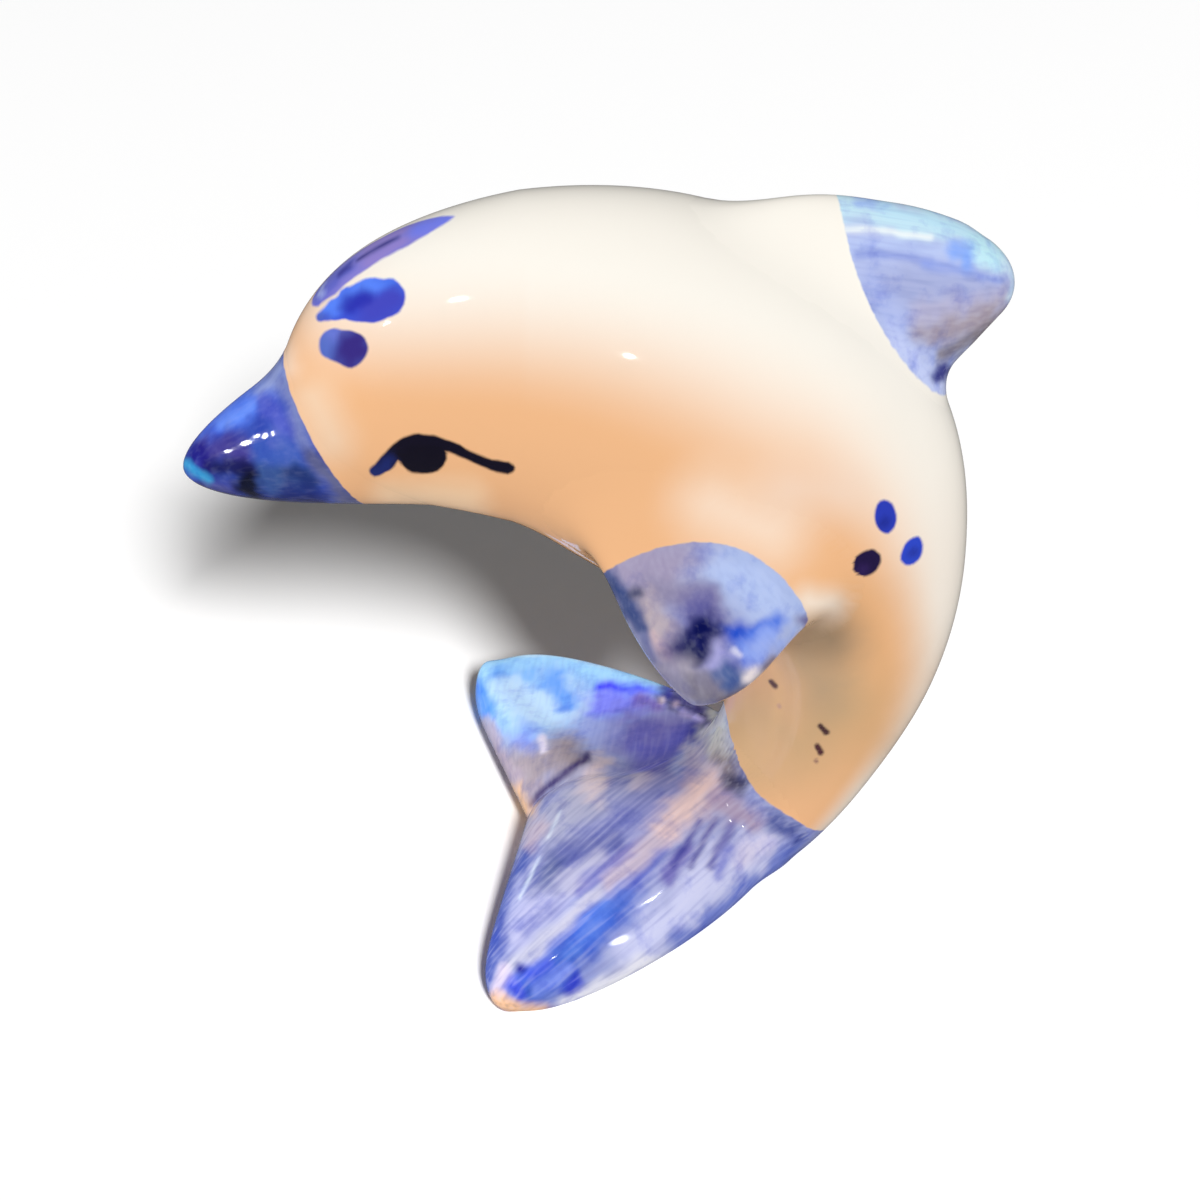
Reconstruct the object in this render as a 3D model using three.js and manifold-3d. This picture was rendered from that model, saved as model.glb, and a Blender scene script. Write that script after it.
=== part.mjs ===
// A delftware dolphin figurine: a leaping dolphin of glazed earthenware that stands on its own flukes.
// Its body is one casting that curls along an elliptical arc from the forehead to the heel of the tail.
// The beak, the fins and the two fluke lobes are pressed separately and luted on with slip, and the
// painter later washes them blue, so each piece ends where its colour does.
// Millimetres, +Z up, ground at z = 0, beak towards -X, the dolphin's left side towards -Y.

import * as THREE from 'three';
import { LoftGeometry } from 'three/addons/geometries/LoftGeometry.js';
import { mergeVertices } from 'three/addons/utils/BufferGeometryUtils.js';
import Module from 'manifold-3d';

// Slip joint: the clear line that the slip fills between the casting and a piece luted onto it.
const SLIP_JOINT = 0.3;

// Spine: an upright ellipse in the sagittal plane, read from the cheek over the back to the heel.
const ARC_REACH = 28.6;
const ARC_RISE = 26.6;
const HEEL_HEIGHT = 3.5;

// Body sections, square to the spine. The angle is measured on the ellipse, in degrees above level, and
// the back and the belly are measured from the spine.
const BODY = {
  cheek: { angle: 86, back: 13.2, belly: 13.2, width: 25.4 },
  shoulder: { angle: 66, back: 15.4, belly: 15, width: 28.8 },
  chest: { angle: 48, back: 16.6, belly: 15, width: 30.8 },
  flank: { angle: 30, back: 14.7, belly: 13.2, width: 28 },
  waist: { angle: 13, back: 11.7, belly: 11, width: 23.2 },
  stock: { angle: -5, back: 8.9, belly: 9, width: 18.8 },
  ankle: { angle: -21, back: 6.9, belly: 7.6, width: 15.6 },
  heel: { angle: -40, back: 5.9, belly: 6.6, width: 13.6 },
};
const FOREHEAD_LENGTH = 18.6;
const FOREHEAD_NOD = 3.6;
const HEEL_ROUND = 4;

// Beak: a blunt cone whose root is buried in the forehead.
const BEAK_REACH = 9;
const BEAK_BURIED = 10.8;
const BEAK_ROOT_DIAMETER = 16.6;
const BEAK_ROOT_DROP = 3.6;
const BEAK_PITCH = 16.4;

// Dorsal fin: its two edges, drawn from the back line. Each point is aft along the back, then out of it.
const DORSAL_ANGLE = 40;
const DORSAL_LEADING = [[-19, -8.5], [-15, 0.4], [-9.4, 5.6], [-4.8, 8.4], [-1.6, 9.3]];
const DORSAL_TRAILING = [[7, -11], [6.6, -3.8], [4.6, -0.2], [4, 3.2], [3.6, 6]];
const DORSAL_ROOT_THICKNESS = 12;
const DORSAL_TIP_THICKNESS = 5;
const DORSAL_TIP_ROUND = 1.6;

// Flippers: rounded paddles seated below the widest line of the flanks, drooping and leaning forward.
const FLIPPER_ANGLE = 42.4;
const FLIPPER_SEAT_TURN = 28;
const FLIPPER_LENGTH = 10;
const FLIPPER_BURIED = 6;
const FLIPPER_ROOT_CHORD = 18.8;
const FLIPPER_ROOT_THICKNESS = 8.8;
const FLIPPER_TIP_THICKNESS = 5.6;
const FLIPPER_DROOP = 47;
const FLIPPER_LEAN = 8.6;
const FLIPPER_TWIST = 18;

// Flukes: two lobes that meet in a seam on the centre line. Their leading edges spring from just inside
// the back of the heel, and the lobes spread forward from there.
const FLUKE_TUCK = 0.3;
const FLUKE_ROOT_CHORD = 23.4;
const FLUKE_REACH = 25.4;
const FLUKE_HALF_SPAN = 24.6;
const LEFT_BULGE = 4.1;
const RIGHT_BULGE = 3.4;
const FOOT_WIPE = 0.4;

// Heights of a lobe's section. The ridge's place and width are shares of the chord from the notch side,
// and the lip is where the rounded edge turns. Both lobes start from one section at the seam. The left
// is ridged along its middle, and the right along its rim. The sponge then wipes their undersides flat.
const FLUKE_ROOT = { ridge: 0.67, ridgeWidth: 0.62, height: 10.8, trailing: 5.3, leading: 3.3, lip: 3 };
const LEFT_TIP = { ridge: 0.5, ridgeWidth: 0.34, height: 3.9, trailing: 2.9, leading: 1.9, lip: 2 };
const RIGHT_TIP = { ridge: 0.8, ridgeWidth: 0.42, height: 6.4, trailing: 6.2, leading: 5.6, lip: 2.6 };

// Shape of the curves: how a planform sweeps and rounds off towards its tip.
const FOREHEAD_BLUNTNESS = 4.5;
const BEAK_BLUNTNESS = 1.82;
const LEADING_SWEEP = 1.58;
const LEADING_ROUND = 0.77;
const TRAILING_SQUARENESS = 8;
const EDGE_SQUARENESS = 6;
const TIP_SQUARENESS = 16;
const PADDLE_TAPER = 1.9;
const PADDLE_LEADING_ROUND = 0.8;
const PADDLE_TRAILING_ROUND = 0.58;
const PADDLE_TIP_SQUARENESS = 6;

// Facets.
const BODY_RINGS = 34;
const BODY_SIDES = 36;
const ROUND_RINGS = 8;
const FIN_RINGS = 14;
const FIN_SIDES = 26;
const LOBE_RINGS = 16;
const LOBE_SIDES = 40;
const LAST_RING_ANGLE = 87;
const GIRTH_SAMPLES = 280;

// Glaze: cream over the casting, and a different strength of cobalt wash over each luted piece.
const GLAZE_ROUGHNESS = 0.12;
const CREAM = 0xf4dcc0;
const BEAK_COBALT = 0x2c3f9e;
const DORSAL_WASH = 0x9db2e6;
const FLIPPER_WASH = 0x8d97cc;
const LEFT_FLUKE_WASH = 0x8390d4;
const RIGHT_FLUKE_WASH = 0x7fa0e8;

const wasm = await Module();
wasm.setup();

// A closed geometry as a solid that can be joined and cut.
function solid(geometry) {
  const bare = new THREE.BufferGeometry();
  bare.setAttribute('position', geometry.attributes.position);
  bare.setIndex(geometry.index);
  const welded = mergeVertices(bare);
  const vertProperties = new Float32Array(welded.attributes.position.array);
  const triVerts = new Uint32Array(welded.index.array);
  return new wasm.Manifold(new wasm.Mesh({ numProp: 3, vertProperties, triVerts }));
}

// A solid as a named mesh with its own glaze colour.
function piece(name, shape, color) {
  const { vertProperties, triVerts } = shape.getMesh();
  const geometry = new THREE.BufferGeometry();
  geometry.setAttribute('position', new THREE.BufferAttribute(vertProperties, 3));
  geometry.setIndex(new THREE.BufferAttribute(triVerts, 1));
  geometry.computeVertexNormals();
  const material = new THREE.MeshStandardMaterial({ color, roughness: GLAZE_ROUGHNESS, metalness: 0 });
  const mesh = new THREE.Mesh(geometry, material);
  mesh.name = name;
  return mesh;
}

function loft(sections) {
  return solid(new LoftGeometry(sections, { capStart: true, capEnd: true }));
}

// Even steps from one value to another, both ends included.
function steps(count, from, to) {
  return Array.from({ length: count + 1 }, (_, i) => THREE.MathUtils.lerp(from, to, i / count));
}

// A closed ring of points, one for each angle round the section.
function ring(sides, place) {
  return Array.from({ length: sides }, (_, i) => place((2 * Math.PI * i) / sides));
}

// The spine's point at an angle, with its outward normal and its heading towards the tail.
function spine(degrees) {
  const angle = THREE.MathUtils.degToRad(degrees);
  const heel = THREE.MathUtils.degToRad(BODY.heel.angle);
  const height = HEEL_HEIGHT + ARC_RISE * (Math.sin(angle) - Math.sin(heel));
  const point = new THREE.Vector3(ARC_REACH * Math.cos(angle), 0, height);
  const out = new THREE.Vector3(Math.cos(angle) / ARC_REACH, 0, Math.sin(angle) / ARC_RISE).normalize();
  const aft = new THREE.Vector3(out.z, 0, -out.x);
  return { point, out, aft };
}

// One smooth line through the body's sections, with the angle as x, and two of their sizes as y and z.
function stationLine(sizes) {
  const points = Object.values(BODY).map((section) => new THREE.Vector3(section.angle, ...sizes(section)));
  return new THREE.CatmullRomCurve3(points, false, 'catmullrom');
}
const depthLine = stationLine(({ back, belly }) => [back, belly]);
const widthLine = stationLine(({ width }) => [width / 2, 0]);

// The body's girth at a share of the way from the cheek to the heel.
function girth(share) {
  const { x: angle, y: back, z: belly } = depthLine.getPoint(share);
  return { angle, back, belly, halfWidth: widthLine.getPoint(share).y };
}

// The body's girth at the angle on the spine where a fin is luted on.
function girthAt(degrees) {
  const shares = steps(GIRTH_SAMPLES, 0, 1);
  return girth(shares.find((share) => depthLine.getPoint(share).x <= degrees));
}

// One egg-shaped section of the body. Where an end rounds off it is moved aft and out, and shrunk.
function bodySection({ angle, back, belly, halfWidth }, grow, move = [0, 0], shrink = 1) {
  const { point, out, aft } = spine(angle);
  const centre = point.addScaledVector(aft, move[0]).addScaledVector(out, move[1]);
  return ring(BODY_SIDES, (turn) => {
    const depth = Math.cos(turn) > 0 ? back : belly;
    const rise = (depth * shrink + grow) * Math.cos(turn);
    const side = -(halfWidth * shrink + grow) * Math.sin(turn);
    return centre.clone().addScaledVector(out, rise).setY(side);
  });
}

// The forehead goes on with the slope that the back has at the cheek, then closes bluntly.
function foreheadShrink(share) {
  const first = girth(0);
  const second = girth(1 / BODY_RINGS);
  const run = spine(first.angle).point.distanceTo(spine(second.angle).point);
  const slope = (second.back - first.back) / run;
  const linear = (2 * FOREHEAD_LENGTH * slope) / first.back;
  return Math.sqrt(1 - linear * share - (1 - linear) * share ** FOREHEAD_BLUNTNESS);
}

// Angles at which the rings of a round end lie, from its widest ring to just short of its pole.
function roundAngles(count) {
  return steps(count, 0, THREE.MathUtils.degToRad(LAST_RING_ANGLE));
}

// The whole casting: a blunt forehead, the girth along the spine and a rounded heel.
function bodyForm(grow) {
  const first = girth(0);
  const last = girth(1);
  const shares = roundAngles(ROUND_RINGS).slice(1).map(Math.sin);
  const forehead = shares.toReversed().map((share) => {
    const move = [-(FOREHEAD_LENGTH + grow) * share, -FOREHEAD_NOD * share ** 2];
    return bodySection(first, grow, move, foreheadShrink(share));
  });
  const trunk = steps(BODY_RINGS, 0, 1).map((share) => bodySection(girth(share), grow));
  const heel = shares.map((share) => (
    bodySection(last, grow, [(HEEL_ROUND + grow) * share, 0], Math.sqrt(1 - share ** 2))
  ));
  return loft([...forehead, ...trunk, ...heel]);
}

// Everything below the ground, which wipes the heel and the flukes flat.
function belowGround() {
  const reach = ARC_REACH + FLUKE_REACH + FLUKE_HALF_SPAN;
  const geometry = new THREE.BoxGeometry(2 * reach, 2 * reach, reach);
  geometry.translate(0, 0, -reach / 2);
  return solid(geometry);
}

// A blunt cone turned about its own axis, then laid along the beak's line.
function beakForm() {
  const profile = steps(FIN_RINGS, 0, 1).map((t) => (
    new THREE.Vector2((BEAK_ROOT_DIAMETER / 2) * t, (BEAK_BURIED + BEAK_REACH) * (1 - t ** BEAK_BLUNTNESS))
  ));
  profile.push(new THREE.Vector2(0, 0));
  const geometry = new THREE.LatheGeometry(profile.reverse(), FIN_SIDES);
  const pitch = THREE.MathUtils.degToRad(BEAK_PITCH);
  const heading = new THREE.Vector3(-Math.cos(pitch), 0, -Math.sin(pitch));
  const { point } = spine(BODY.cheek.angle);
  geometry.applyQuaternion(new THREE.Quaternion().setFromUnitVectors(new THREE.Vector3(0, 1, 0), heading));
  geometry.translate(point.x - FOREHEAD_LENGTH + BEAK_BURIED, 0, point.z - BEAK_ROOT_DROP);
  return solid(geometry);
}

// Oval sections whose long axis runs between the fin's leading and trailing edges.
function dorsalForm() {
  const { point, out, aft } = spine(DORSAL_ANGLE);
  const back = point.clone().addScaledVector(out, girthAt(DORSAL_ANGLE).back);
  const edge = (outline) => new THREE.CatmullRomCurve3(outline.map(([along, above]) => (
    back.clone().addScaledVector(aft, along).addScaledVector(out, above)
  )), false, 'catmullrom');
  const leading = edge(DORSAL_LEADING);
  const trailing = edge(DORSAL_TRAILING);
  const section = (t, thickness, along, shrink) => {
    const front = leading.getPoint(t);
    const rear = trailing.getPoint(t);
    const middle = front.clone().add(rear).multiplyScalar(0.5).add(new THREE.Vector3(along, 0, 0));
    const half = front.sub(rear).multiplyScalar(shrink / 2);
    return ring(FIN_SIDES, (turn) => (
      middle.clone().addScaledVector(half, Math.cos(turn)).setY(-(thickness / 2) * shrink * Math.sin(turn))
    ));
  };
  const blade = steps(FIN_RINGS, 0, 1).map((t) => (
    section(t, THREE.MathUtils.lerp(DORSAL_ROOT_THICKNESS, DORSAL_TIP_THICKNESS, t), 0, 1)
  ));
  const tip = roundAngles(ROUND_RINGS).slice(1).map((a) => (
    section(1, DORSAL_TIP_THICKNESS, DORSAL_TIP_ROUND * Math.sin(a), Math.cos(a))
  ));
  return loft([...blade, ...tip]);
}

// A paddle lofted along its own drooping axis. The side is -1 on the left flank and 1 on the right.
function flipperForm(side) {
  const { point, out } = spine(FLIPPER_ANGLE);
  const { belly, halfWidth } = girthAt(FLIPPER_ANGLE);
  const turnDown = THREE.MathUtils.degToRad(FLIPPER_SEAT_TURN);
  const seat = point.addScaledVector(out, -belly * Math.sin(turnDown));
  seat.setY(halfWidth * Math.cos(turnDown));
  const droop = THREE.MathUtils.degToRad(FLIPPER_DROOP);
  const lean = Math.sin(THREE.MathUtils.degToRad(FLIPPER_LEAN));
  const axis = new THREE.Vector3(-lean, Math.cos(droop), -Math.sin(droop)).normalize();
  const twist = THREE.MathUtils.degToRad(FLIPPER_TWIST);
  const chord = new THREE.Vector3(Math.cos(twist), 0, -Math.sin(twist));
  chord.addScaledVector(axis, -chord.dot(axis)).normalize();
  const face = axis.clone().cross(chord);
  const sections = roundAngles(FIN_RINGS).map((a) => {
    const t = Math.sin(a);
    const taper = 1 - t ** PADDLE_TAPER;
    const round = Math.sqrt(1 - t ** PADDLE_TIP_SQUARENESS);
    const thickness = THREE.MathUtils.lerp(FLIPPER_ROOT_THICKNESS, FLIPPER_TIP_THICKNESS, t) * round;
    const reach = THREE.MathUtils.lerp(-FLIPPER_BURIED, FLIPPER_LENGTH, t);
    const centre = seat.clone().addScaledVector(axis, reach);
    return ring(FIN_SIDES, (turn) => {
      const half = taper ** (Math.cos(turn) < 0 ? PADDLE_LEADING_ROUND : PADDLE_TRAILING_ROUND);
      const place = centre.clone().addScaledVector(chord, (FLIPPER_ROOT_CHORD / 2) * half * Math.cos(turn));
      place.addScaledVector(face, (thickness / 2) * Math.sin(side * turn));
      return place.setY(side * place.y);
    });
  });
  return loft(sections);
}

// The lobe's section at a share of its span: flat below, ridged above, with rounded edges.
function lobeSection(side, tip, bulge, share) {
  const { point, out } = spine(BODY.heel.angle);
  const heel = point.x + out.x * BODY.heel.back - FLUKE_TUCK;
  const lead = heel - FLUKE_REACH * (1 - (1 - share ** LEADING_SWEEP) ** LEADING_ROUND);
  const notch = (bulge + FLUKE_REACH - FLUKE_ROOT_CHORD) * (1 - share);
  const trail = heel - FLUKE_REACH - bulge * Math.sqrt(1 - share ** TRAILING_SQUARENESS) + notch;
  const taper = Math.sqrt(1 - share ** TIP_SQUARENESS);
  const between = (size) => THREE.MathUtils.lerp(FLUKE_ROOT[size], tip[size], share);
  const y = side * THREE.MathUtils.lerp(SLIP_JOINT / 2, FLUKE_HALF_SPAN, share);
  return ring(LOBE_SIDES, (turn) => {
    const chord = (1 - Math.cos(turn)) / 2;
    const edge = taper * Math.sqrt(1 - Math.abs(2 * chord - 1) ** EDGE_SQUARENESS);
    const plate = THREE.MathUtils.lerp(between('trailing'), between('leading'), chord);
    const ridge = Math.exp(-(((chord - between('ridge')) / between('ridgeWidth')) ** 2));
    const underside = between('lip') * (1 - edge) - FOOT_WIPE;
    const upper = side * Math.sin(turn) > 0;
    const height = upper ? edge * THREE.MathUtils.lerp(plate, between('height'), ridge) : 0;
    return new THREE.Vector3(THREE.MathUtils.lerp(trail, lead, chord), y, underside + height);
  });
}

function lobeForm(side, tip, bulge) {
  const shares = roundAngles(LOBE_RINGS).map(Math.sin);
  return loft(shares.map((share) => lobeSection(side, tip, bulge, share)));
}

const ground = belowGround();
const casting = bodyForm(0).subtract(ground);
const seat = bodyForm(SLIP_JOINT);

const dolphin = new THREE.Group();
dolphin.add(
  piece('body_casting', casting, CREAM),
  piece('beak', beakForm().subtract(seat), BEAK_COBALT),
  piece('dorsal_fin', dorsalForm().subtract(seat), DORSAL_WASH),
  piece('left_flipper', flipperForm(-1).subtract(seat), FLIPPER_WASH),
  piece('right_flipper', flipperForm(1).subtract(seat), FLIPPER_WASH),
  piece('left_fluke', lobeForm(-1, LEFT_TIP, LEFT_BULGE).subtract(ground).subtract(seat), LEFT_FLUKE_WASH),
  piece('right_fluke', lobeForm(1, RIGHT_TIP, RIGHT_BULGE).subtract(ground).subtract(seat), RIGHT_FLUKE_WASH),
);

// The origin is on the ground, under the middle of the figurine.
const bounds = new THREE.Box3().setFromObject(dolphin);
const middle = bounds.getCenter(new THREE.Vector3());
dolphin.position.set(-middle.x, -middle.y, 0);

export default dolphin;
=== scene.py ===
# %% [markdown]
# # A painted earthenware dolphin
# The figurine is a small hollow casting of cream clay. Its beak, fins and flukes were luted on with wet
# slip, a brush washed them with cobalt, and one clear gloss glaze covers it all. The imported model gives
# the frame: every piece made below stands where its solid stands.

# %% Load the frame
import math

import bpy
import numpy as np
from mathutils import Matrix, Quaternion, Vector


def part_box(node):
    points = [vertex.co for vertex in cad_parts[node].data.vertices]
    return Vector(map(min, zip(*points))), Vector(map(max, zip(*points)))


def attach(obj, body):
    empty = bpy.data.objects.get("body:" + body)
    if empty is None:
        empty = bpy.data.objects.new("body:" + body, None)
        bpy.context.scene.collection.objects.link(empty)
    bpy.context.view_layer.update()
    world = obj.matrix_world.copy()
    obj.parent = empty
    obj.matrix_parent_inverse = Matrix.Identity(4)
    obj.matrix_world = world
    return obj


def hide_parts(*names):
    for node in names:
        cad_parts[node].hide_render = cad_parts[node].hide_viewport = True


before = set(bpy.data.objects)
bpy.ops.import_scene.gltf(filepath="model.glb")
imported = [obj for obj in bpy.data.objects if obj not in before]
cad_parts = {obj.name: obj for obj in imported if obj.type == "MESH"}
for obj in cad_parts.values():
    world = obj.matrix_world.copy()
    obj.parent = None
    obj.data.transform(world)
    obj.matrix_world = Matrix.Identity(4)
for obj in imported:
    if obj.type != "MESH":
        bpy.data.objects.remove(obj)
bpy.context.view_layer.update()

MM = 0.001
print("solids:", sorted(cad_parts))

# %% [markdown]
# ## The spine
# A sculptor would bend the dolphin along one wire. The wire is an upright ellipse, read from the cheek
# over the back to the heel. All shapes are worked out in millimetres on this drawing, with the middle of
# the ellipse at x = 0, and are moved into the frame when they become meshes.

# %% Spine
ARC_REACH = 28.6
ARC_RISE = 26.6
HEEL_HEIGHT = 3.5
CHEEK_ANGLE = 86.0
HEEL_ANGLE = -40.0
TINY = 1e-12


def dot(a, b):
    """Scalar product of vectors along the last axis."""
    return np.sum(a * b, axis=-1, keepdims=True)


def unit(v):
    """Vectors of length 1 along the last axis."""
    return v / np.maximum(np.linalg.norm(v, axis=-1, keepdims=True), TINY)


def spine(degrees):
    """Point of the ellipse at an angle, its outward normal and its heading towards the tail."""
    angle = np.radians(np.asarray(degrees, float))
    flat = np.zeros_like(angle)
    height = HEEL_HEIGHT + ARC_RISE * (np.sin(angle) - math.sin(math.radians(HEEL_ANGLE)))
    point = np.stack([ARC_REACH * np.cos(angle), flat, height], -1)
    out = unit(np.stack([np.cos(angle) / ARC_REACH, flat, np.sin(angle) / ARC_RISE], -1))
    aft = np.stack([out[..., 2], flat, -out[..., 0]], -1)
    return point, out, aft


print("spine runs from", spine(CHEEK_ANGLE)[0].round(1), "to", spine(HEEL_ANGLE)[0].round(1))

# %% [markdown]
# ## The girth
# Eight sections give the casting's thickness: how far the back and the belly lie from the spine, and half
# the width. A smooth line through them gives every section in between. A Catmull-Rom line is chosen,
# because it passes through each measured section and needs nothing else.

# %% Girth
SECTIONS = np.array([
    # angle, back, belly, half width
    (CHEEK_ANGLE, 13.2, 13.2, 12.7),
    (66.0, 15.4, 15.0, 14.4),
    (48.0, 16.6, 15.0, 15.4),
    (30.0, 14.7, 13.2, 14.0),
    (13.0, 11.7, 11.0, 11.6),
    (-5.0, 8.9, 9.0, 9.4),
    (-21.0, 6.9, 7.6, 7.8),
    (HEEL_ANGLE, 5.9, 6.6, 6.8),
])


def smooth_line(points, share):
    """A cubic between each two points whose slope at a point is half the step between its neighbours."""
    points = np.asarray(points, float)
    ends = 2 * points[0] - points[1], 2 * points[-1] - points[-2]
    p = np.concatenate([ends[:1], points, ends[1:]])
    place = np.clip(share, 0, 1) * (len(points) - 1)
    i = np.minimum(place.astype(int), len(points) - 2)
    f = (place - i)[..., None]
    a, b, c, d = p[i], p[i + 1], p[i + 2], p[i + 3]
    return 0.5 * (2 * b + (c - a) * f + (2 * a - 5 * b + 4 * c - d) * f**2 + (3 * b - a - 3 * c + d) * f**3)


GIRTH_STEPS = 800
GIRTH_TABLE = smooth_line(SECTIONS, np.linspace(0, 1, GIRTH_STEPS))[::-1]


def girth_at(degrees):
    """Back, belly and half width at an angle on the spine."""
    angles, *sizes = GIRTH_TABLE.T
    return [np.interp(degrees, angles, size) for size in sizes]


print("thickest at", SECTIONS[:, 1:].max(0), "mm")

# %% [markdown]
# ## The casting's surface
# The body is a profile carried along a path: an egg-shaped ring at every angle of the spine. Past the
# cheek the rings go straight on and shrink into the blunt forehead, and past the heel they close like a
# ball. A curve with a bevel could carry the rings, but only arrays let the back, the belly and the width
# change on their own, and the same formulas measure distances to the body below.

# %% Casting surface
FOREHEAD_LENGTH = 18.6
FOREHEAD_NOD = 3.6
FOREHEAD_BLUNTNESS = 4.5
HEEL_ROUND = 4.0
BODY_ROWS = (70, 210, 16)
BODY_SIDES = 288


def cheek_slope():
    """How fast the back thickens behind the cheek, as the forehead goes on with that slope. It is doubled,
    because the forehead takes a root of it."""
    second, first = GIRTH_TABLE[-2], GIRTH_TABLE[-1]
    run = np.linalg.norm(spine(first[0])[0] - spine(second[0])[0])
    return 2 * FOREHEAD_LENGTH * (second[1] - first[1]) / run / first[1]


SLOPE = cheek_slope()


def forehead_shrink(u):
    """Root of what is left after a straight part and a blunt part: 1 - m u - (1 - m) u^bluntness."""
    return np.sqrt(np.maximum(1 - SLOPE * u - (1 - SLOPE) * u**FOREHEAD_BLUNTNESS, 0))


def round_turn(sides):
    """Angles once round a ring."""
    return np.linspace(0, 2 * np.pi, sides, endpoint=False)


def casting_surface(rows, sides):
    """Rings of the casting: along the spine in rows, and round each section in sides."""
    front, trunk, rear = rows
    u = np.sin(np.linspace(np.pi / 2, 0, front, endpoint=False))
    v = np.sin(np.linspace(0, np.pi / 2, rear + 1))[1:]
    still = np.zeros(trunk)
    bend = np.linspace(CHEEK_ANGLE, HEEL_ANGLE, trunk)
    angle = np.concatenate([CHEEK_ANGLE + 0 * u, bend, HEEL_ANGLE + 0 * v])
    move_aft = np.concatenate([-FOREHEAD_LENGTH * u, still, HEEL_ROUND * v])
    move_out = np.concatenate([-FOREHEAD_NOD * u**2, still, 0 * v])
    shrink = np.concatenate([forehead_shrink(u), still + 1, np.sqrt(np.maximum(1 - v**2, 0))])
    point, out, aft = spine(angle)
    back, belly, half = girth_at(angle)
    turn = round_turn(sides)
    depth = np.where(np.cos(turn) > 0, back[:, None], belly[:, None]) * shrink[:, None]
    centre = point + aft * move_aft[:, None] + out * move_out[:, None]
    grid = centre[:, None] + out[:, None] * (depth * np.cos(turn))[..., None]
    grid[..., 1] = -(half * shrink)[:, None] * np.sin(turn)
    return grid


casting = casting_surface(BODY_ROWS, BODY_SIDES)
print("casting spans", casting.min((0, 1)).round(1), casting.max((0, 1)).round(1), "mm")

# %% [markdown]
# ## How far a point stands off the casting
# The slip that joins a fin to the body makes a soft fillet. To shape it, each point of a fin needs its
# height above the body. A nearest-point search would do, but the sections give a smooth answer: find the
# section plane that holds the point, divide the point's two coordinates there by the section's half sizes,
# and turn that radius ratio into a distance with its gradient. The thumb marks that a real casting has are
# part of it: the thumb that pressed the flipper on left a hollow behind it and pushed up a low fold.

# %% Stand-off
ARC_MIDDLE = HEEL_HEIGHT - ARC_RISE * math.sin(math.radians(HEEL_ANGLE))
PLANE_STEPS = 5
LEAST_BEND = 0.3
LEAST_SLOPE = 1e-6
PROBE = 0.05
THUMB_MARKS = [
    # centre on the left flank, height and radius
    ((25.6, -12.0, 28.0), -0.55, 3.6),
    ((25.0, -13.4, 32.6), 0.35, 2.2),
]


def left_side(p):
    """The same point on the left flank."""
    return np.concatenate([p[..., :1], -np.abs(p[..., 1:2]), p[..., 2:]], -1)


def thumb_relief(p):
    """How far the thumb pushed the surface out: a bell round each mark, alike on both flanks."""
    relief = np.zeros(p.shape[:-1] + (1,))
    for centre, height, radius in THUMB_MARKS:
        away = np.linalg.norm(left_side(p) - np.array(centre), axis=-1, keepdims=True)
        relief = relief + height * np.exp(-(away / radius)**2)
    return relief


def girth_ratio(p):
    """1 on the casting, less inside and more outside; the point's offset over the section's half sizes."""
    angle = np.degrees(np.arctan2((p[..., 2] - ARC_MIDDLE) / ARC_RISE, p[..., 0] / ARC_REACH))
    for _ in range(PLANE_STEPS):
        point, out, aft = spine(angle)
        bend = np.hypot(ARC_REACH * np.sin(np.radians(angle)), ARC_RISE * np.cos(np.radians(angle)))
        lag = dot(p - point, aft)[..., 0]
        rise = dot(p - point, out)[..., 0]
        angle = angle - np.degrees(lag / np.maximum(bend + rise, LEAST_BEND * bend))
        angle = np.clip(angle, HEEL_ANGLE, CHEEK_ANGLE)
    point, out, aft = spine(angle)
    back, belly, half = girth_at(angle)
    ahead = -dot(p - point, aft)[..., 0]
    u = np.maximum(ahead / FOREHEAD_LENGTH, 0)
    v = np.maximum(-ahead / HEEL_ROUND, 0)
    rise = dot(p - point, out)[..., 0] + FOREHEAD_NOD * u**2
    forehead = SLOPE * u + (1 - SLOPE) * u**FOREHEAD_BLUNTNESS
    return np.sqrt((rise / np.where(rise > 0, back, belly))**2 + (p[..., 1] / half)**2 + forehead + v**2)


def stand_off(p):
    """Height above the casting in mm, and the casting's outward direction there."""
    steps = PROBE * np.eye(3)
    slope = np.stack([girth_ratio(p + s) - girth_ratio(p - s) for s in steps], -1) / (2 * PROBE)
    steep = np.maximum(np.linalg.norm(slope, axis=-1, keepdims=True), LEAST_SLOPE)
    return (girth_ratio(p)[..., None] - 1) / steep - thumb_relief(p), slope / steep


SAMPLE_STEP = 8
sample = casting[BODY_ROWS[0]:-BODY_ROWS[-1]:SAMPLE_STEP, ::SAMPLE_STEP]
error = np.abs(stand_off(sample)[0] + thumb_relief(sample)).max()
print("stand-off on the casting itself:", error.round(3), "mm")

# %% [markdown]
# ## The smear of slip
# A potter who lutes a fin on wipes the wet slip into the corner with a finger. The corner becomes a
# fillet that is tangent to both. Here a fin's points slide outwards over the casting: a point at height a
# slides by (root of the reach - root of a) squared, so it slides most at the foot and not at all at the top.

# %% Slip fillet
def ease(x):
    """A soft step from 0 to 1: 3 x^2 - 2 x^3."""
    x = np.clip(x, 0, 1)
    return x * x * (3 - 2 * x)


def outward(grid):
    """Normals of a grid of closed rings, from the steps along it and round it."""
    along = np.gradient(grid, axis=0)
    around = np.roll(grid, -1, 1) - np.roll(grid, 1, 1)
    normal = unit(np.cross(along, around))
    spread = dot(normal, grid - grid.mean(1, keepdims=True)).mean()
    return normal if spread > 0 else -normal


SKIRT_WIDTH = 0.8
SKIRT_DEPTH = 0.25
FULL_LEAN = 0.3
SEAM_WIDTH = 2.0
SETTLE_STEPS = 3


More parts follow.
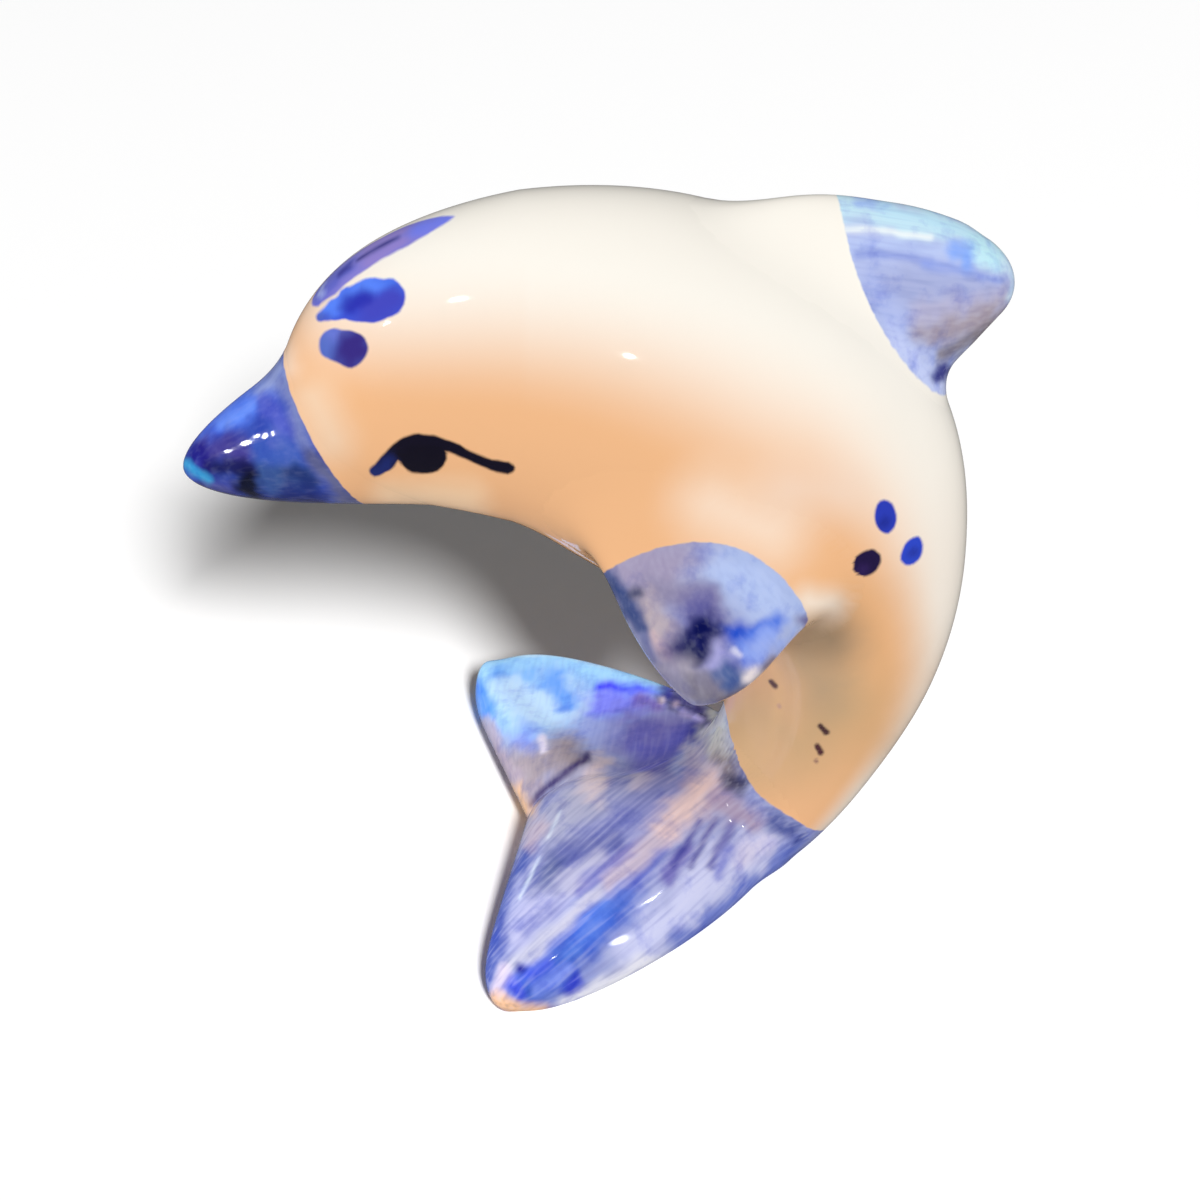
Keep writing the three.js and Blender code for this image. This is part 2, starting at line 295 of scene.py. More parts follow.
def fillet_slide(height, reach):
    """Sideways slide of a point at a height above the casting: (root of reach - root of height)^2."""
    return (np.sqrt(reach) - np.sqrt(np.clip(height, 0, reach)))**2


def slip_fillet(grid, reach):
    """Slides points within reach of the casting outwards over it. Buried points make a thin skirt just
    under its surface, so that the fillet runs out without a step. Points on the middle plane stay on it."""
    height, up = stand_off(grid)
    normal = outward(grid)
    sideways = normal - up * dot(normal, up)
    lean = ease(np.linalg.norm(sideways, axis=-1, keepdims=True) / FULL_LEAN)
    off_middle = ease(np.abs(grid[..., 1:2]) / SEAM_WIDTH)
    whole = np.ones_like(off_middle)
    sideways = unit(sideways * np.concatenate([whole, off_middle, whole], -1))
    buried = np.clip(-height, 0, SKIRT_WIDTH)
    slide = fillet_slide(height, reach) + buried
    wanted = np.where(height > 0, height, height + buried - SKIRT_DEPTH * buried / SKIRT_WIDTH)
    moved = grid + sideways * slide * lean
    for _ in range(SETTLE_STEPS):
        now, up = stand_off(moved)
        moved = moved - up * (now - wanted)
    return moved


TRIAL_REACH = 4.0
TRIAL_STEPS = 5
trial_heights = np.linspace(0, TRIAL_REACH, TRIAL_STEPS)
print("slide at heights of", trial_heights, "mm:", fillet_slide(trial_heights, TRIAL_REACH).round(2), "mm")

# %% [markdown]
# ## From grid to piece
# Every piece is a grid of closed rings. Quads join the rings, and a fan of triangles closes each end on
# one point, so the mesh is watertight. The grid stays in memory, because the painting below needs its
# points and normals. The beak is the front end of the figurine, so its tip tells how far the drawing has to
# move to stand in the frame.

# %% Skin helper
BEAK_REACH = 9.0
BEAK_BURIED = 10.8
BEAK_PITCH = math.radians(16.4)
BEAK_ROOT_DROP = 3.6
BEAK_HEADING = np.array([-math.cos(BEAK_PITCH), 0, -math.sin(BEAK_PITCH)])
BEAK_ROOT = spine(CHEEK_ANGLE)[0] + [BEAK_BURIED - FOREHEAD_LENGTH, 0, -BEAK_ROOT_DROP]
BEAK_TIP = BEAK_ROOT + BEAK_HEADING * (BEAK_BURIED + BEAK_REACH)
TO_FRAME = np.array([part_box("beak")[0][0] / MM - BEAK_TIP[0], 0, 0])


def ring_faces(rows, sides):
    """Quads between neighbouring rings, and two fans that close the ends on their own points."""
    r, s = np.meshgrid(np.arange(rows - 1), np.arange(sides), indexing="ij")
    nxt = (s + 1) % sides
    quads = np.stack([r * sides + s, r * sides + nxt, (r + 1) * sides + nxt, (r + 1) * sides + s], -1)
    last = (rows - 1) * sides
    i = np.arange(sides)
    first_fan = np.stack([np.full(sides, rows * sides), (i + 1) % sides, i], -1)
    last_fan = np.stack([np.full(sides, rows * sides + 1), last + i, last + (i + 1) % sides], -1)
    return quads.reshape(-1, 4), np.concatenate([first_fan, last_fan])


def skin(name, grid, node):
    """A mesh piece from a grid of closed rings in drawing millimetres, standing for a CAD node."""
    rows, sides = grid.shape[:2]
    points = np.concatenate([grid.reshape(-1, 3), grid[:1].mean(1), grid[-1:].mean(1)])
    quads, fans = ring_faces(rows, sides)
    if dot(np.cross(np.gradient(grid, axis=0), np.roll(grid, -1, 1) - grid),
           grid - grid.mean(1, keepdims=True)).mean() > 0:
        quads, fans = quads[:, ::-1], fans[:, ::-1]
    mesh = bpy.data.meshes.new(name)
    mesh.from_pydata(((points + TO_FRAME) * MM).tolist(), [], quads.tolist() + fans.tolist())
    mesh.shade_smooth()
    piece = bpy.data.objects.new(name, mesh)
    bpy.context.collection.objects.link(piece)
    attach(piece, "root")
    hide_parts(node)
    print(name, len(mesh.polygons), "faces")
    return piece


print("drawing to frame:", TO_FRAME.round(3), "mm")

# %% [markdown]
# ## The camera
# The photograph looks down on the dolphin's left side. The camera's place is worked out once, and the
# painting uses the same numbers: a mark that was seen at a pixel is painted on the surface behind that
# pixel, and the other flank gets its mirror image.

# %% Camera
VIEW_ELEVATION = math.radians(30)
VIEW_AZIMUTH = math.radians(-4)
VIEW_DISTANCE = 230.0
VIEW_TARGET = np.array([8.8, 0, 24.5])
PHOTO_SIZE = 1200
PIXELS_PER_MM = 11.94
FOCAL_PIXELS = PIXELS_PER_MM * VIEW_DISTANCE
NEAREST_SEEN = 0.01
FORWARD = np.array([
    -math.sin(VIEW_AZIMUTH) * math.cos(VIEW_ELEVATION),
    math.cos(VIEW_AZIMUTH) * math.cos(VIEW_ELEVATION),
    -math.sin(VIEW_ELEVATION),
])
RIGHTWARD = np.array([math.cos(VIEW_AZIMUTH), math.sin(VIEW_AZIMUTH), 0])
UPWARD = np.cross(RIGHTWARD, FORWARD)
EYE = VIEW_TARGET - FORWARD * VIEW_DISTANCE


def photo_pixels(p):
    """Pixel of each point in the photograph: offsets across and up over depth, times the focal length."""
    gap = p - EYE
    scale = FOCAL_PIXELS / dot(gap, FORWARD)
    half = PHOTO_SIZE / 2
    return np.concatenate([half + scale * dot(gap, RIGHTWARD), half - scale * dot(gap, UPWARD)], -1)


camera = bpy.data.objects.new("photo_camera", bpy.data.cameras.new("photo_camera"))
camera.data.sensor_fit = "HORIZONTAL"
camera.data.angle = 2 * math.atan(PHOTO_SIZE / 2 / FOCAL_PIXELS)
camera.data.clip_start = NEAREST_SEEN
camera.location = (EYE + TO_FRAME) * MM
camera.rotation_euler = Vector(FORWARD).to_track_quat("-Z", "Y").to_euler()
bpy.context.collection.objects.link(camera)
bpy.context.scene.camera = camera
print("camera at", [round(c, 4) for c in camera.location])

# %% [markdown]
# ## A touch of the hand
# Two helpers serve both the modelling and the painting: a tremble that makes a line or a surface look
# made by hand, and the reach of a brush or a tool that follows a path of pixels.

# %% Hand
MIX_PRIMES = np.array([73856093, 19349663, 83492791])
MIX_SHIFT = 13
MIX_FOLD, MIX_LIFT, MIX_END = 15731, 789221, 1376312589
MIX_MASK = 0x7fffffff
SHIFT_SIZES = 7
FINE_SHARE = 0.5
FINE_SIZE = 0.45


def mottle(p, size):
    """Soft random blotches from -1 to 1: chance values at the corners of a lattice of cubes, blended with
    the soft step. A corner's chance value comes from mixing its three whole numbers."""
    place = p / size
    corner = np.floor(place).astype(np.int64)
    share = ease(place - corner)
    total = np.zeros(p.shape[:-1])
    for step in np.ndindex(2, 2, 2):
        x, y, z = np.moveaxis((corner + np.array(step)) * MIX_PRIMES, -1, 0)
        n = x ^ y ^ z
        n = (n ^ (n << MIX_SHIFT)) & MIX_MASK
        n = (n * (n * n % MIX_FOLD + MIX_LIFT) + MIX_END) & MIX_MASK
        chance = n / (MIX_MASK // 2) - 1
        total += chance * np.prod(np.where(step, share, 1 - share), -1)
    return total


def tremble(p, size):
    """Two of the hand's small errors, across and down: coarse blotches with finer ones on top."""
    shifted = p[..., ::-1] + SHIFT_SIZES * size
    return np.stack([mottle(q, size) + FINE_SHARE * mottle(q, FINE_SIZE * size) for q in (p, shifted)], -1)


def inside_brush(pixels, path):
    """How far inside a stroke, in pixels: its half width, which changes evenly from point to point, less
    the distance to the path. Each point of the path is across, down and half width."""
    path = np.array(path, float)
    best = path[0, 2] - np.linalg.norm(pixels - path[0, :2], axis=-1)
    for a, b in zip(path[:-1], path[1:]):
        step = b[:2] - a[:2]
        t = np.clip(((pixels - a[:2]) @ step) / (step @ step), 0, 1)
        away = np.linalg.norm(pixels - a[:2] - t[..., None] * step, axis=-1)
        best = np.maximum(best, a[2] + (b[2] - a[2]) * t - away)
    return best


TRIAL_SIZE = 2.0
trial = mottle(casting, TRIAL_SIZE)
print("blotches on the casting run from", trial.min().round(2), "to", trial.max().round(2))

# %% [markdown]
# ## The body
# The casting alone, with the thumb marks, and flat where it was wiped on the kiln shelf. A sculpting brush
# could press the marks. Added along the normals as bells, they are exact and alike on both flanks.

# %% Body
def on_ground(grid):
    """The same grid, with nothing below the shelf."""
    return np.concatenate([grid[..., :2], np.maximum(grid[..., 2:], 0)], -1)


body_grid = on_ground(casting + outward(casting) * thumb_relief(casting))
body = skin("body", body_grid, "body_casting")

# %% [markdown]
# ## The beak
# A blunt cone, turned between the palms and pressed into the forehead. Its radius grows in proportion to a
# parameter t while its distance falls as 1 - t^1.82, which is a cone with a soft nose. Blender's own cone
# has a sharp point, so the formula is used. A small fillet makes the crease above it, as slip does.

# %% Beak
BEAK_ROOT_RADIUS = 8.3
BEAK_BLUNTNESS = 1.82
BEAK_FILLET = 2.2
BEAK_CROWDING = 1.2
BEAK_GRID = (170, 150)


def beak_surface(rows, sides):
    """Circles of radius R t at distance L (1 - t^bluntness) from the root, along the beak's heading. They
    crowd a little towards the nose."""
    t = np.linspace(0, 1, rows)[:, None, None]**BEAK_CROWDING
    w = round_turn(sides)[None, :, None]
    lift = np.array([BEAK_HEADING[2], 0, -BEAK_HEADING[0]])
    across = np.array([0, 1.0, 0])
    ring = BEAK_ROOT_RADIUS * t * (np.cos(w) * lift + np.sin(w) * across)
    return BEAK_ROOT + BEAK_HEADING * (BEAK_BURIED + BEAK_REACH) * (1 - t**BEAK_BLUNTNESS) + ring


beak_grid = slip_fillet(beak_surface(*BEAK_GRID), BEAK_FILLET)
beak = skin("snout", beak_grid, "beak")

# %% [markdown]
# ## The dorsal fin
# A slab of clay with a leading and a trailing edge. Each edge is a smooth line through a few points drawn
# from the back, and ovals span the two edges. The ovals shrink at the end to round the tip. A flat outline
# with a bevel would be as thick at the tip as at the foot, and the real fin thins out.

# %% Dorsal fin
DORSAL_ANGLE = 40.0
DORSAL_LEADING = [(-19, -8.5), (-15, 0.4), (-9.4, 5.6), (-4.8, 8.4), (-1.6, 9.3)]
DORSAL_TRAILING = [(7, -11), (6.6, -3.8), (4.6, -0.2), (4, 3.2), (3.6, 6)]
DORSAL_THICKNESS = (12.0, 5.0)
DORSAL_TIP_LENGTH = 1.55
DORSAL_TIP_START = math.radians(55)
DORSAL_FILLETS = (1.8, 4.0)
DORSAL_GRID = (150, 40, 170)


def dorsal_surface(blade_rows, tip_rows, sides):
    """Ovals from edge to edge. Past the blade they follow the end of an ellipse, which starts at an angle
    where it closes as fast as the two edges do, so that the tip has no knob."""
    a = np.linspace(DORSAL_TIP_START, np.pi / 2, tip_rows + 1)[1:]
    start = math.sin(DORSAL_TIP_START)
    t = np.concatenate([np.linspace(0, 1, blade_rows), np.ones(tip_rows)])
    shrink = np.concatenate([np.ones(blade_rows), np.cos(a) / math.cos(DORSAL_TIP_START)])[:, None, None]
    along = np.concatenate([np.zeros(blade_rows), DORSAL_TIP_LENGTH * (np.sin(a) - start) / (1 - start)])
    point, out, aft = spine(DORSAL_ANGLE)
    foot = point + out * girth_at(DORSAL_ANGLE)[0]
    front, rear = [
        foot + line[:, :1] * aft + line[:, 1:] * out
        for line in (smooth_line(DORSAL_LEADING, t), smooth_line(DORSAL_TRAILING, t))
    ]
    middle = ((front + rear) / 2 + along[:, None] * [1, 0, 0])[:, None]
    half = ((front - rear) / 2)[:, None]
    thick = np.interp(t, [0, 1], DORSAL_THICKNESS)[:, None, None] / 2
    w = round_turn(sides)[None, :, None]
    return middle + half * shrink * np.cos(w) - thick * shrink * np.sin(w) * np.array([0, 1.0, 0])


around_fin = round_turn(DORSAL_GRID[-1])[None, :, None]
dorsal_reach = np.interp(np.cos(around_fin), [-1, 1], DORSAL_FILLETS)
dorsal_grid = slip_fillet(dorsal_surface(*DORSAL_GRID), dorsal_reach)
dorsal = skin("back_fin", dorsal_grid, "dorsal_fin")

# %% [markdown]
# ## The flippers
# Two paddles that droop and lean forward. A paddle has its own three axes: along it, across its chord and
# through its face. Its chord tapers as (1 - t^1.9) to a power that differs between the leading and the
# trailing side, and its thickness ends squarely. The right one is the left one mirrored. A Mirror modifier
# would make them one piece, so the array is mirrored, and the skin helper turns its faces outwards.

# %% Flippers
FLIPPER_ANGLE = 42.4
FLIPPER_SEAT_TURN = math.radians(28)
FLIPPER_LENGTH = 10.0
FLIPPER_BURIED = 6.0
FLIPPER_HALF_CHORD = 9.4
FLIPPER_THICKNESS = (8.8, 5.6)
FLIPPER_DROOP = math.radians(47)
FLIPPER_LEAN = math.radians(8.6)
FLIPPER_TWIST = math.radians(18)
PADDLE_TAPER = 1.9
PADDLE_LEADING_ROUND = 0.8
PADDLE_TRAILING_ROUND = 0.58
PADDLE_TIP_SQUARENESS = 6.0
FLIPPER_FILLET = 4.8
FLIPPER_GRID = (170, 180)


def flipper_axes():
    """Seat on the right flank, and the paddle's directions along it, across it and through it."""
    point, out, _ = spine(FLIPPER_ANGLE)
    _, belly, half = girth_at(FLIPPER_ANGLE)
    seat = point - out * belly * math.sin(FLIPPER_SEAT_TURN)
    seat[1] = half * math.cos(FLIPPER_SEAT_TURN)
    along = unit(np.array([-math.sin(FLIPPER_LEAN), math.cos(FLIPPER_DROOP), -math.sin(FLIPPER_DROOP)]))
    chord = np.array([math.cos(FLIPPER_TWIST), 0, -math.sin(FLIPPER_TWIST)])
    chord = unit(chord - along * dot(chord, along))
    return seat, along, chord, np.cross(along, chord)


def flipper_surface(side, rows, sides):
    """Ovals along the paddle's axis, with t = sin a, half chord C (1 - t^taper)^round and a square tip."""
    seat, along, chord, face = flipper_axes()
    t = np.sin(np.linspace(0, np.pi / 2, rows))[:, None]
    w = round_turn(sides)[None]
    taper = np.maximum(1 - t**PADDLE_TAPER, 0)
    leading, trailing = taper**PADDLE_LEADING_ROUND, taper**PADDLE_TRAILING_ROUND
    half = FLIPPER_HALF_CHORD * np.where(np.cos(w) < 0, leading, trailing)
    thick = np.interp(t, [0, 1], FLIPPER_THICKNESS) * np.sqrt(1 - t**PADDLE_TIP_SQUARENESS) / 2
    reach = np.interp(t, [0, 1], [-FLIPPER_BURIED, FLIPPER_LENGTH])
    grid = seat + reach[..., None] * along + (half * np.cos(w))[..., None] * chord
    grid = grid + (thick * np.sin(w))[..., None] * face
    return grid * [1, side, 1]


left_flipper_grid = slip_fillet(flipper_surface(-1, *FLIPPER_GRID), FLIPPER_FILLET)
right_flipper_grid = left_flipper_grid * [1, -1, 1]
left_flipper = skin("paddle_left", left_flipper_grid, "left_flipper")
right_flipper = skin("paddle_right", right_flipper_grid, "right_flipper")

# %% [markdown]
# ## The flukes
# Two lobes, cut from a slab and ridged with the thumbs. At a share of the span, a lobe's section runs from
# the notch side to the leading side: flat below, a rounded edge, a plate that changes height along the
# chord, and a bell-shaped ridge. Both lobes start from one section and end in different ones, as hand work
# does. Where they meet, a tool has pressed a groove that fades out towards the stock, and thumbs have left
# a valley beside the seam and a shallow hollow in the far lobe. With a formula for the section, each press
# is one term that is taken off its height.

# %% Fluke sections
FLUKE_TUCK = 0.3
FLUKE_ROOT_CHORD = 23.4
FLUKE_REACH = 25.4
FLUKE_HALF_SPAN = 24.6
FOOT_WIPE = 0.4
LEADING_SWEEP = 1.58
LEADING_ROUND = 0.77
TRAILING_SQUARENESS = 8.0
EDGE_SQUARENESS = 6.0
TIP_SQUARENESS = 16.0
FLUKE_ROOT = dict(ridge=0.67, ridge_width=0.62, height=10.8, trailing=5.3, leading=3.3, lip=3.0)
LEFT_TIP = dict(ridge=0.5, ridge_width=0.34, height=3.9, trailing=2.9, leading=1.9, lip=2.0)
RIGHT_TIP = dict(ridge=0.8, ridge_width=0.42, height=6.4, trailing=6.2, leading=5.6, lip=2.6)
LEFT_BULGE = 4.1
RIGHT_BULGE = 3.4
SEAM_STEP = 0.015
SEAM_ROUND = 0.08
GROOVE_DEPTH = 0.9
GROOVE_WIDTH = 1.0
GROOVE_END = 0.42
VALLEY_DEPTH = 2.2
VALLEY_PLACE = 2.0
VALLEY_WIDTH = 4.6
VALLEY_START = 0.12
HOLLOW_DEPTH = 1.3
HOLLOW_END = 0.86
PRESS_EDGE = 0.3
FLUKE_FILLET = 3.4
FLUKE_GRID = (180, 260)


def lobe_surface(side, tip, bulge, hollow_depth, rows, sides):
    """Sections across the span; edge = (1 - |2c - 1|^6)^1/2 rounds the plate and the lip at both ends."""
    point, out, _ = spine(HEEL_ANGLE)
    heel = point[0] + out[0] * girth_at(HEEL_ANGLE)[0] - FLUKE_TUCK
    turn = np.insert(np.linspace(0, np.pi / 2, rows - 1), 1, SEAM_STEP / FLUKE_HALF_SPAN)
    share = np.sin(turn)[:, None]
    y = FLUKE_HALF_SPAN * share
    w = round_turn(sides)[None]
    lead = heel - FLUKE_REACH * (1 - np.maximum(1 - share**LEADING_SWEEP, 0)**LEADING_ROUND)
    notch = (bulge + FLUKE_REACH - FLUKE_ROOT_CHORD) * (1 - share)
    trail = heel - FLUKE_REACH - bulge * np.sqrt(1 - share**TRAILING_SQUARENESS) + notch
    taper = np.sqrt(1 - share**TIP_SQUARENESS)
    soft = (share - SEAM_ROUND * (1 - np.exp(-share / SEAM_ROUND))) / (1 - SEAM_ROUND)
    size = {key: FLUKE_ROOT[key] + (tip[key] - FLUKE_ROOT[key]) * soft for key in FLUKE_ROOT}
    chord = (1 - np.cos(w)) / 2
    edge = taper * np.sqrt(np.maximum(1 - np.abs(2 * chord - 1)**EDGE_SQUARENESS, 0))
    plate = size["trailing"] + (size["leading"] - size["trailing"]) * chord
    ridge = np.exp(-((chord - size["ridge"]) / size["ridge_width"])**2)
    underside = size["lip"] * (1 - edge) - FOOT_WIPE
    rise = np.where(np.sin(w) > 0, edge * (plate + (size["height"] - plate) * ridge), 0)
    fade = np.clip(1 - chord / GROOVE_END, 0, 1)
    groove = GROOVE_DEPTH * fade * np.exp(-(y / GROOVE_WIDTH)**2)
    off_valley = (side * y - VALLEY_PLACE) / VALLEY_WIDTH
    valley = VALLEY_DEPTH * ease((chord - VALLEY_START) / PRESS_EDGE) * np.exp(-off_valley**2)
    hollow = hollow_depth * np.sin(np.pi * share)**2 * ease(chord / PRESS_EDGE)
    hollow = hollow * ease((HOLLOW_END - chord) / PRESS_EDGE)
    pressed = np.where(np.sin(w) > 0, edge * (groove + valley + hollow), 0)
    return np.stack([trail + (lead - trail) * chord, side * y + 0 * chord, underside + rise - pressed], -1)


print("flukes span", 2 * FLUKE_HALF_SPAN, "mm and reach", FLUKE_REACH, "mm forward of the heel")

# %% [markdown]
# ## The two lobes
# Each lobe is luted to the heel with slip and set down on the shelf, which flattens it below. In the corner
# where the far lobe meets the stock the glaze drew back into beads as it melted. Potters call that crawling.
# A fine tremble along a path of pixels makes the beads. It moves the mesh, because a bump in the material
# would be no part of the piece's shape.

# %% Flukes
CRAWL_PATH = [(645, 698, 9), (672, 701, 12), (700, 714, 10)]
CRAWL_HEIGHT = 0.3
CRAWL_EDGE = 8
CRAWL_SIZES = (0.9, 0.5)
CRAWL_FINE_SHARE = 0.6


def crawled(grid):
    """Lumps of glaze that crawled in the corner: a fine tremble, kept to a path of pixels."""
    place = ease(inside_brush(photo_pixels(grid), CRAWL_PATH) / CRAWL_EDGE)
    coarse, fine = [mottle(grid, size) for size in CRAWL_SIZES]
    lumps = coarse + CRAWL_FINE_SHARE * fine
    off_seam = ease(np.abs(grid[..., 1]))
    return grid + outward(grid) * (CRAWL_HEIGHT * off_seam * place * lumps)[..., None]


left_lobe = lobe_surface(-1, LEFT_TIP, LEFT_BULGE, 0, *FLUKE_GRID)
right_lobe = lobe_surface(1, RIGHT_TIP, RIGHT_BULGE, HOLLOW_DEPTH, *FLUKE_GRID)
left_fluke_grid = on_ground(slip_fillet(left_lobe, FLUKE_FILLET))
right_fluke_grid = on_ground(crawled(slip_fillet(right_lobe, FLUKE_FILLET)))
left_fluke = skin("tail_lobe_left", left_fluke_grid, "left_fluke")
right_fluke = skin("tail_lobe_right", right_fluke_grid, "right_fluke")

# %% [markdown]
# ## Tools of the painter
# Paint is kept on the mesh: for each point a colour, and a signed distance to the edge of each painted
# area. The shader turns the distance into a crisp edge. An image could hold the paint too, but it would need
# a file and an unwrapped mesh. Colours are written as hex values of the screen and turned to linear light
# by one function. A brush path is written in pixels of the photograph.

# %% Painter's tools
SRGB_KNEE, SRGB_SLOPE, SRGB_OFFSET, SRGB_POWER = 0.04045, 12.92, 0.055, 2.4


def linear(code):
    """A hex colour as linear red, green and blue, by the sRGB curve."""
    channels = np.array([int(code[i:i + 2], 16) for i in (1, 3, 5)]) / 255
    curved = ((channels + SRGB_OFFSET) / (1 + SRGB_OFFSET))**SRGB_POWER
    return np.where(channels <= SRGB_KNEE, channels / SRGB_SLOPE, curved)


TREMBLE = 0.6
TREMBLE_LIMIT = 8.0
TREMBLE_SIZE = 2.2
GRAIN = 0.4
GRAIN_SIZE = 0.6
STROKE_SOFTNESS = 0.75
LEAST_SOFTNESS = 1


def brushed(p, ground, strokes, softness=STROKE_SOFTNESS, unsteady=1.0):
    """Lays soft strokes over a ground. A stroke has a radius in pixels, a colour, a strength and its path.
    Its edge is as soft as a share of the radius, and it wanders and breaks up as a dry brush does."""
    pixels = photo_pixels(p)
    shake = tremble(p, TREMBLE_SIZE)
    grain = mottle(p, GRAIN_SIZE)
    colour = np.broadcast_to(ground, p.shape)
    for radius, code, strength, *path in strokes:
        reach = unsteady * min(TREMBLE * radius, TREMBLE_LIMIT)
        soft = softness * radius + LEAST_SOFTNESS
        swept = [(*point, radius) for point in path]
        depth = inside_brush(pixels + shake * reach, swept) + GRAIN * reach * grain
        cover = strength * ease((depth + soft) / (2 * soft))[..., None]
        colour = colour * (1 - cover) + linear(code) * cover
    return colour


print("a middle grey of the screen in linear light:", linear("#808080").round(3))

# %% [markdown]
# ## The washes
# A broad brush laid the washes, and the strokes below follow the photograph: where cobalt pooled, where the
# brush ran dry, and where the clay shows through. Some strokes are painted light and shade: highlights on the
# back fin and the flukes, a lit rim on the far lobe and shade in its hollow. A wash is its ground colour and
# a
# list of strokes: radius in pixels, colour, strength, and points across and down. Strength 1 covers all, and
# less lets the ground show. Each stroke lies over the ones before it.

# %% Beak and back fin
BEAK_WASH = "#3d55b8", [
    (12, "#557ff6", 0.9, (203, 432), (235, 409), (264, 392)),
    (5, "#6f9aff", 0.7, (222, 424), (250, 405)),
    (11, "#98a8dc", 0.85, (262, 390), (278, 380), (284, 368)),
    (10, "#7f8ac0", 0.85, (288, 383), (297, 412), (306, 442)),
    (11, "#5a66cc", 0.85, (264, 406), (282, 430)),
    (14, "#3f60bc", 0.8, (262, 450), (294, 456)),
    (15, "#4a4092", 0.9, (205, 446), (225, 442), (238, 454)),
    (8, "#241f86", 0.9, (190, 457), (200, 448), (206, 466)),
    (16, "#3c5a92", 0.85, (264, 476), (294, 484)),
    (9, "#1c3070", 0.85, (292, 474), (306, 484)),
    (11, "#646688", 0.85, (313, 456), (332, 480), (350, 500)),
    (9, "#1a2a7c", 0.85, (288, 494), (318, 500)),
    (6, "#121a5c", 0.9, (200, 489), (240, 498), (320, 504)),
    (10, "#161652", 0.9, (216, 464), (246, 470)),
    (6, "#4a4a96", 0.7, (208, 483), (232, 488)),
    (10, "#060818", 0.95, (244, 482), (252, 490)),
    (4.5, "#3aa0d6", 0.95, (185, 463), (197, 472), (208, 479)),
]
DORSAL_WASH_AND_PAINTED_LIGHT = "#b6c2ee", [
    # pale cyan along the top: partly the wash, partly painted light on the fin's lit top edge
    (14, "#cdf0fd", 0.95, (826, 204), (880, 214), (940, 228), (1000, 255)),
    (5, "#a5c3fa", 0.85, (858, 204), (888, 207)),
    (6, "#c4ecff", 0.85, (884, 210), (930, 220), (990, 243)),
    (9, "#bdcdf8", 0.85, (846, 246), (900, 246), (952, 253)),
    (9, "#c8f4ff", 0.9, (978, 246), (996, 258)),
    # a painted highlight: the white glint along the fin
    (3, "#f6feff", 0.9, (840, 230), (880, 230), (930, 237)),
    (4, "#8c9ce0", 0.85, (857, 254), (890, 254), (906, 257), (930, 262)),
    (5, "#8ea4ee", 0.85, (925, 264), (970, 272), (1000, 281)),
    (8, "#82acff", 0.85, (954, 252), (966, 254), (968, 264)),
    (18, "#a2aad6", 0.7, (880, 288), (940, 286), (990, 290)),
    (12, "#acbaee", 0.75, (870, 282), (884, 310), (897, 332)),
    (15, "#b9b5d2", 0.85, (926, 312), (970, 306), (1000, 302)),
    (14, "#aa9ca6", 0.9, (932, 335), (958, 326), (990, 316)),
    (6, "#857a80", 0.85, (944, 356), (970, 340), (1000, 323), (1012, 312)),
    (12, "#cbd6ff", 0.9, (890, 340), (915, 365), (938, 392)),
    (5, "#d8f2ff", 0.85, (1006, 262), (1015, 282), (1011, 298)),
    (5, "#37388a", 0.95, (940, 376), (944, 368)),
]
print("strokes on the beak and the back fin:", len(BEAK_WASH[1]), len(DORSAL_WASH_AND_PAINTED_LIGHT[1]))

# %% [markdown]
# ## The flippers' wash
# A thinner, greyer wash. It ran down each paddle and pooled in one dark spot, and the brush left a touch of
# strong cobalt beside it.

# %% Flipper wash
FLIPPER_WASH = "#a3a6cc", [
    (26, "#a69cba", 0.95, (616, 572), (650, 562), (690, 564)),
    (34, "#b5c7f2", 0.95, (728, 574), (756, 586), (780, 610)),
    (7, "#a9bbe8", 0.7, (735, 552), (780, 572), (800, 602)),
    (14, "#8d85a4", 0.8, (655, 588), (690, 598), (712, 606)),
    (15, "#bcadb4", 0.95, (640, 602), (655, 626), (672, 656)),
    (5, "#dcc0c0", 0.7, (652, 636), (668, 654)),
    (10, "#485a94", 0.95, (604, 572), (616, 588), (628, 608)),
    (6, "#5a6498", 0.85, (628, 608), (642, 634), (654, 660)),
    (7, "#35477e", 0.9, (612, 582), (626, 604), (640, 628)),
    (6, "#3d4468", 0.85, (634, 592)),
    (25, "#6b66a4", 0.75, (702, 618), (700, 640), (692, 650)),
    (16, "#2a2f7c", 0.8, (706, 630), (698, 646), (688, 652)),
    (15, "#060e50", 1.0, (706, 634), (704, 648), (694, 652), (688, 648)),
    (13, "#2450cc", 1.0, (738, 632), (752, 639)),
    (10, "#3f6ee2", 1.0, (756, 634), (768, 628), (780, 624)),
    (8, "#6484e4", 0.85, (746, 646), (744, 658)),
    (13, "#96aef6", 0.85, (774, 638), (762, 654)),
    (11, "#acaae0", 0.9, (716, 652), (712, 662), (728, 664)),
    (3, "#e4e2f4", 0.85, (734, 650), (740, 656)),
    (10, "#b5adba", 0.75, (682, 664), (690, 674)),
    (18, "#807a88", 0.95, (690, 690), (714, 692), (736, 692)),
    (8, "#8a86a0", 0.8, (664, 666), (684, 690)),
    (9, "#7a748c", 0.75, (704, 682), (718, 684)),
    (11, "#48609a", 0.95, (724, 671), (737, 680)),
    (4, "#7d6a72", 0.85, (774, 660), (748, 690), (722, 704)),
    (6.5, "#f2e6e6", 0.95, (754, 672), (748, 678)),
    (6, "#6d6496", 0.85, (803, 620)),
]
print("strokes on the flippers:", len(FLIPPER_WASH[1]))
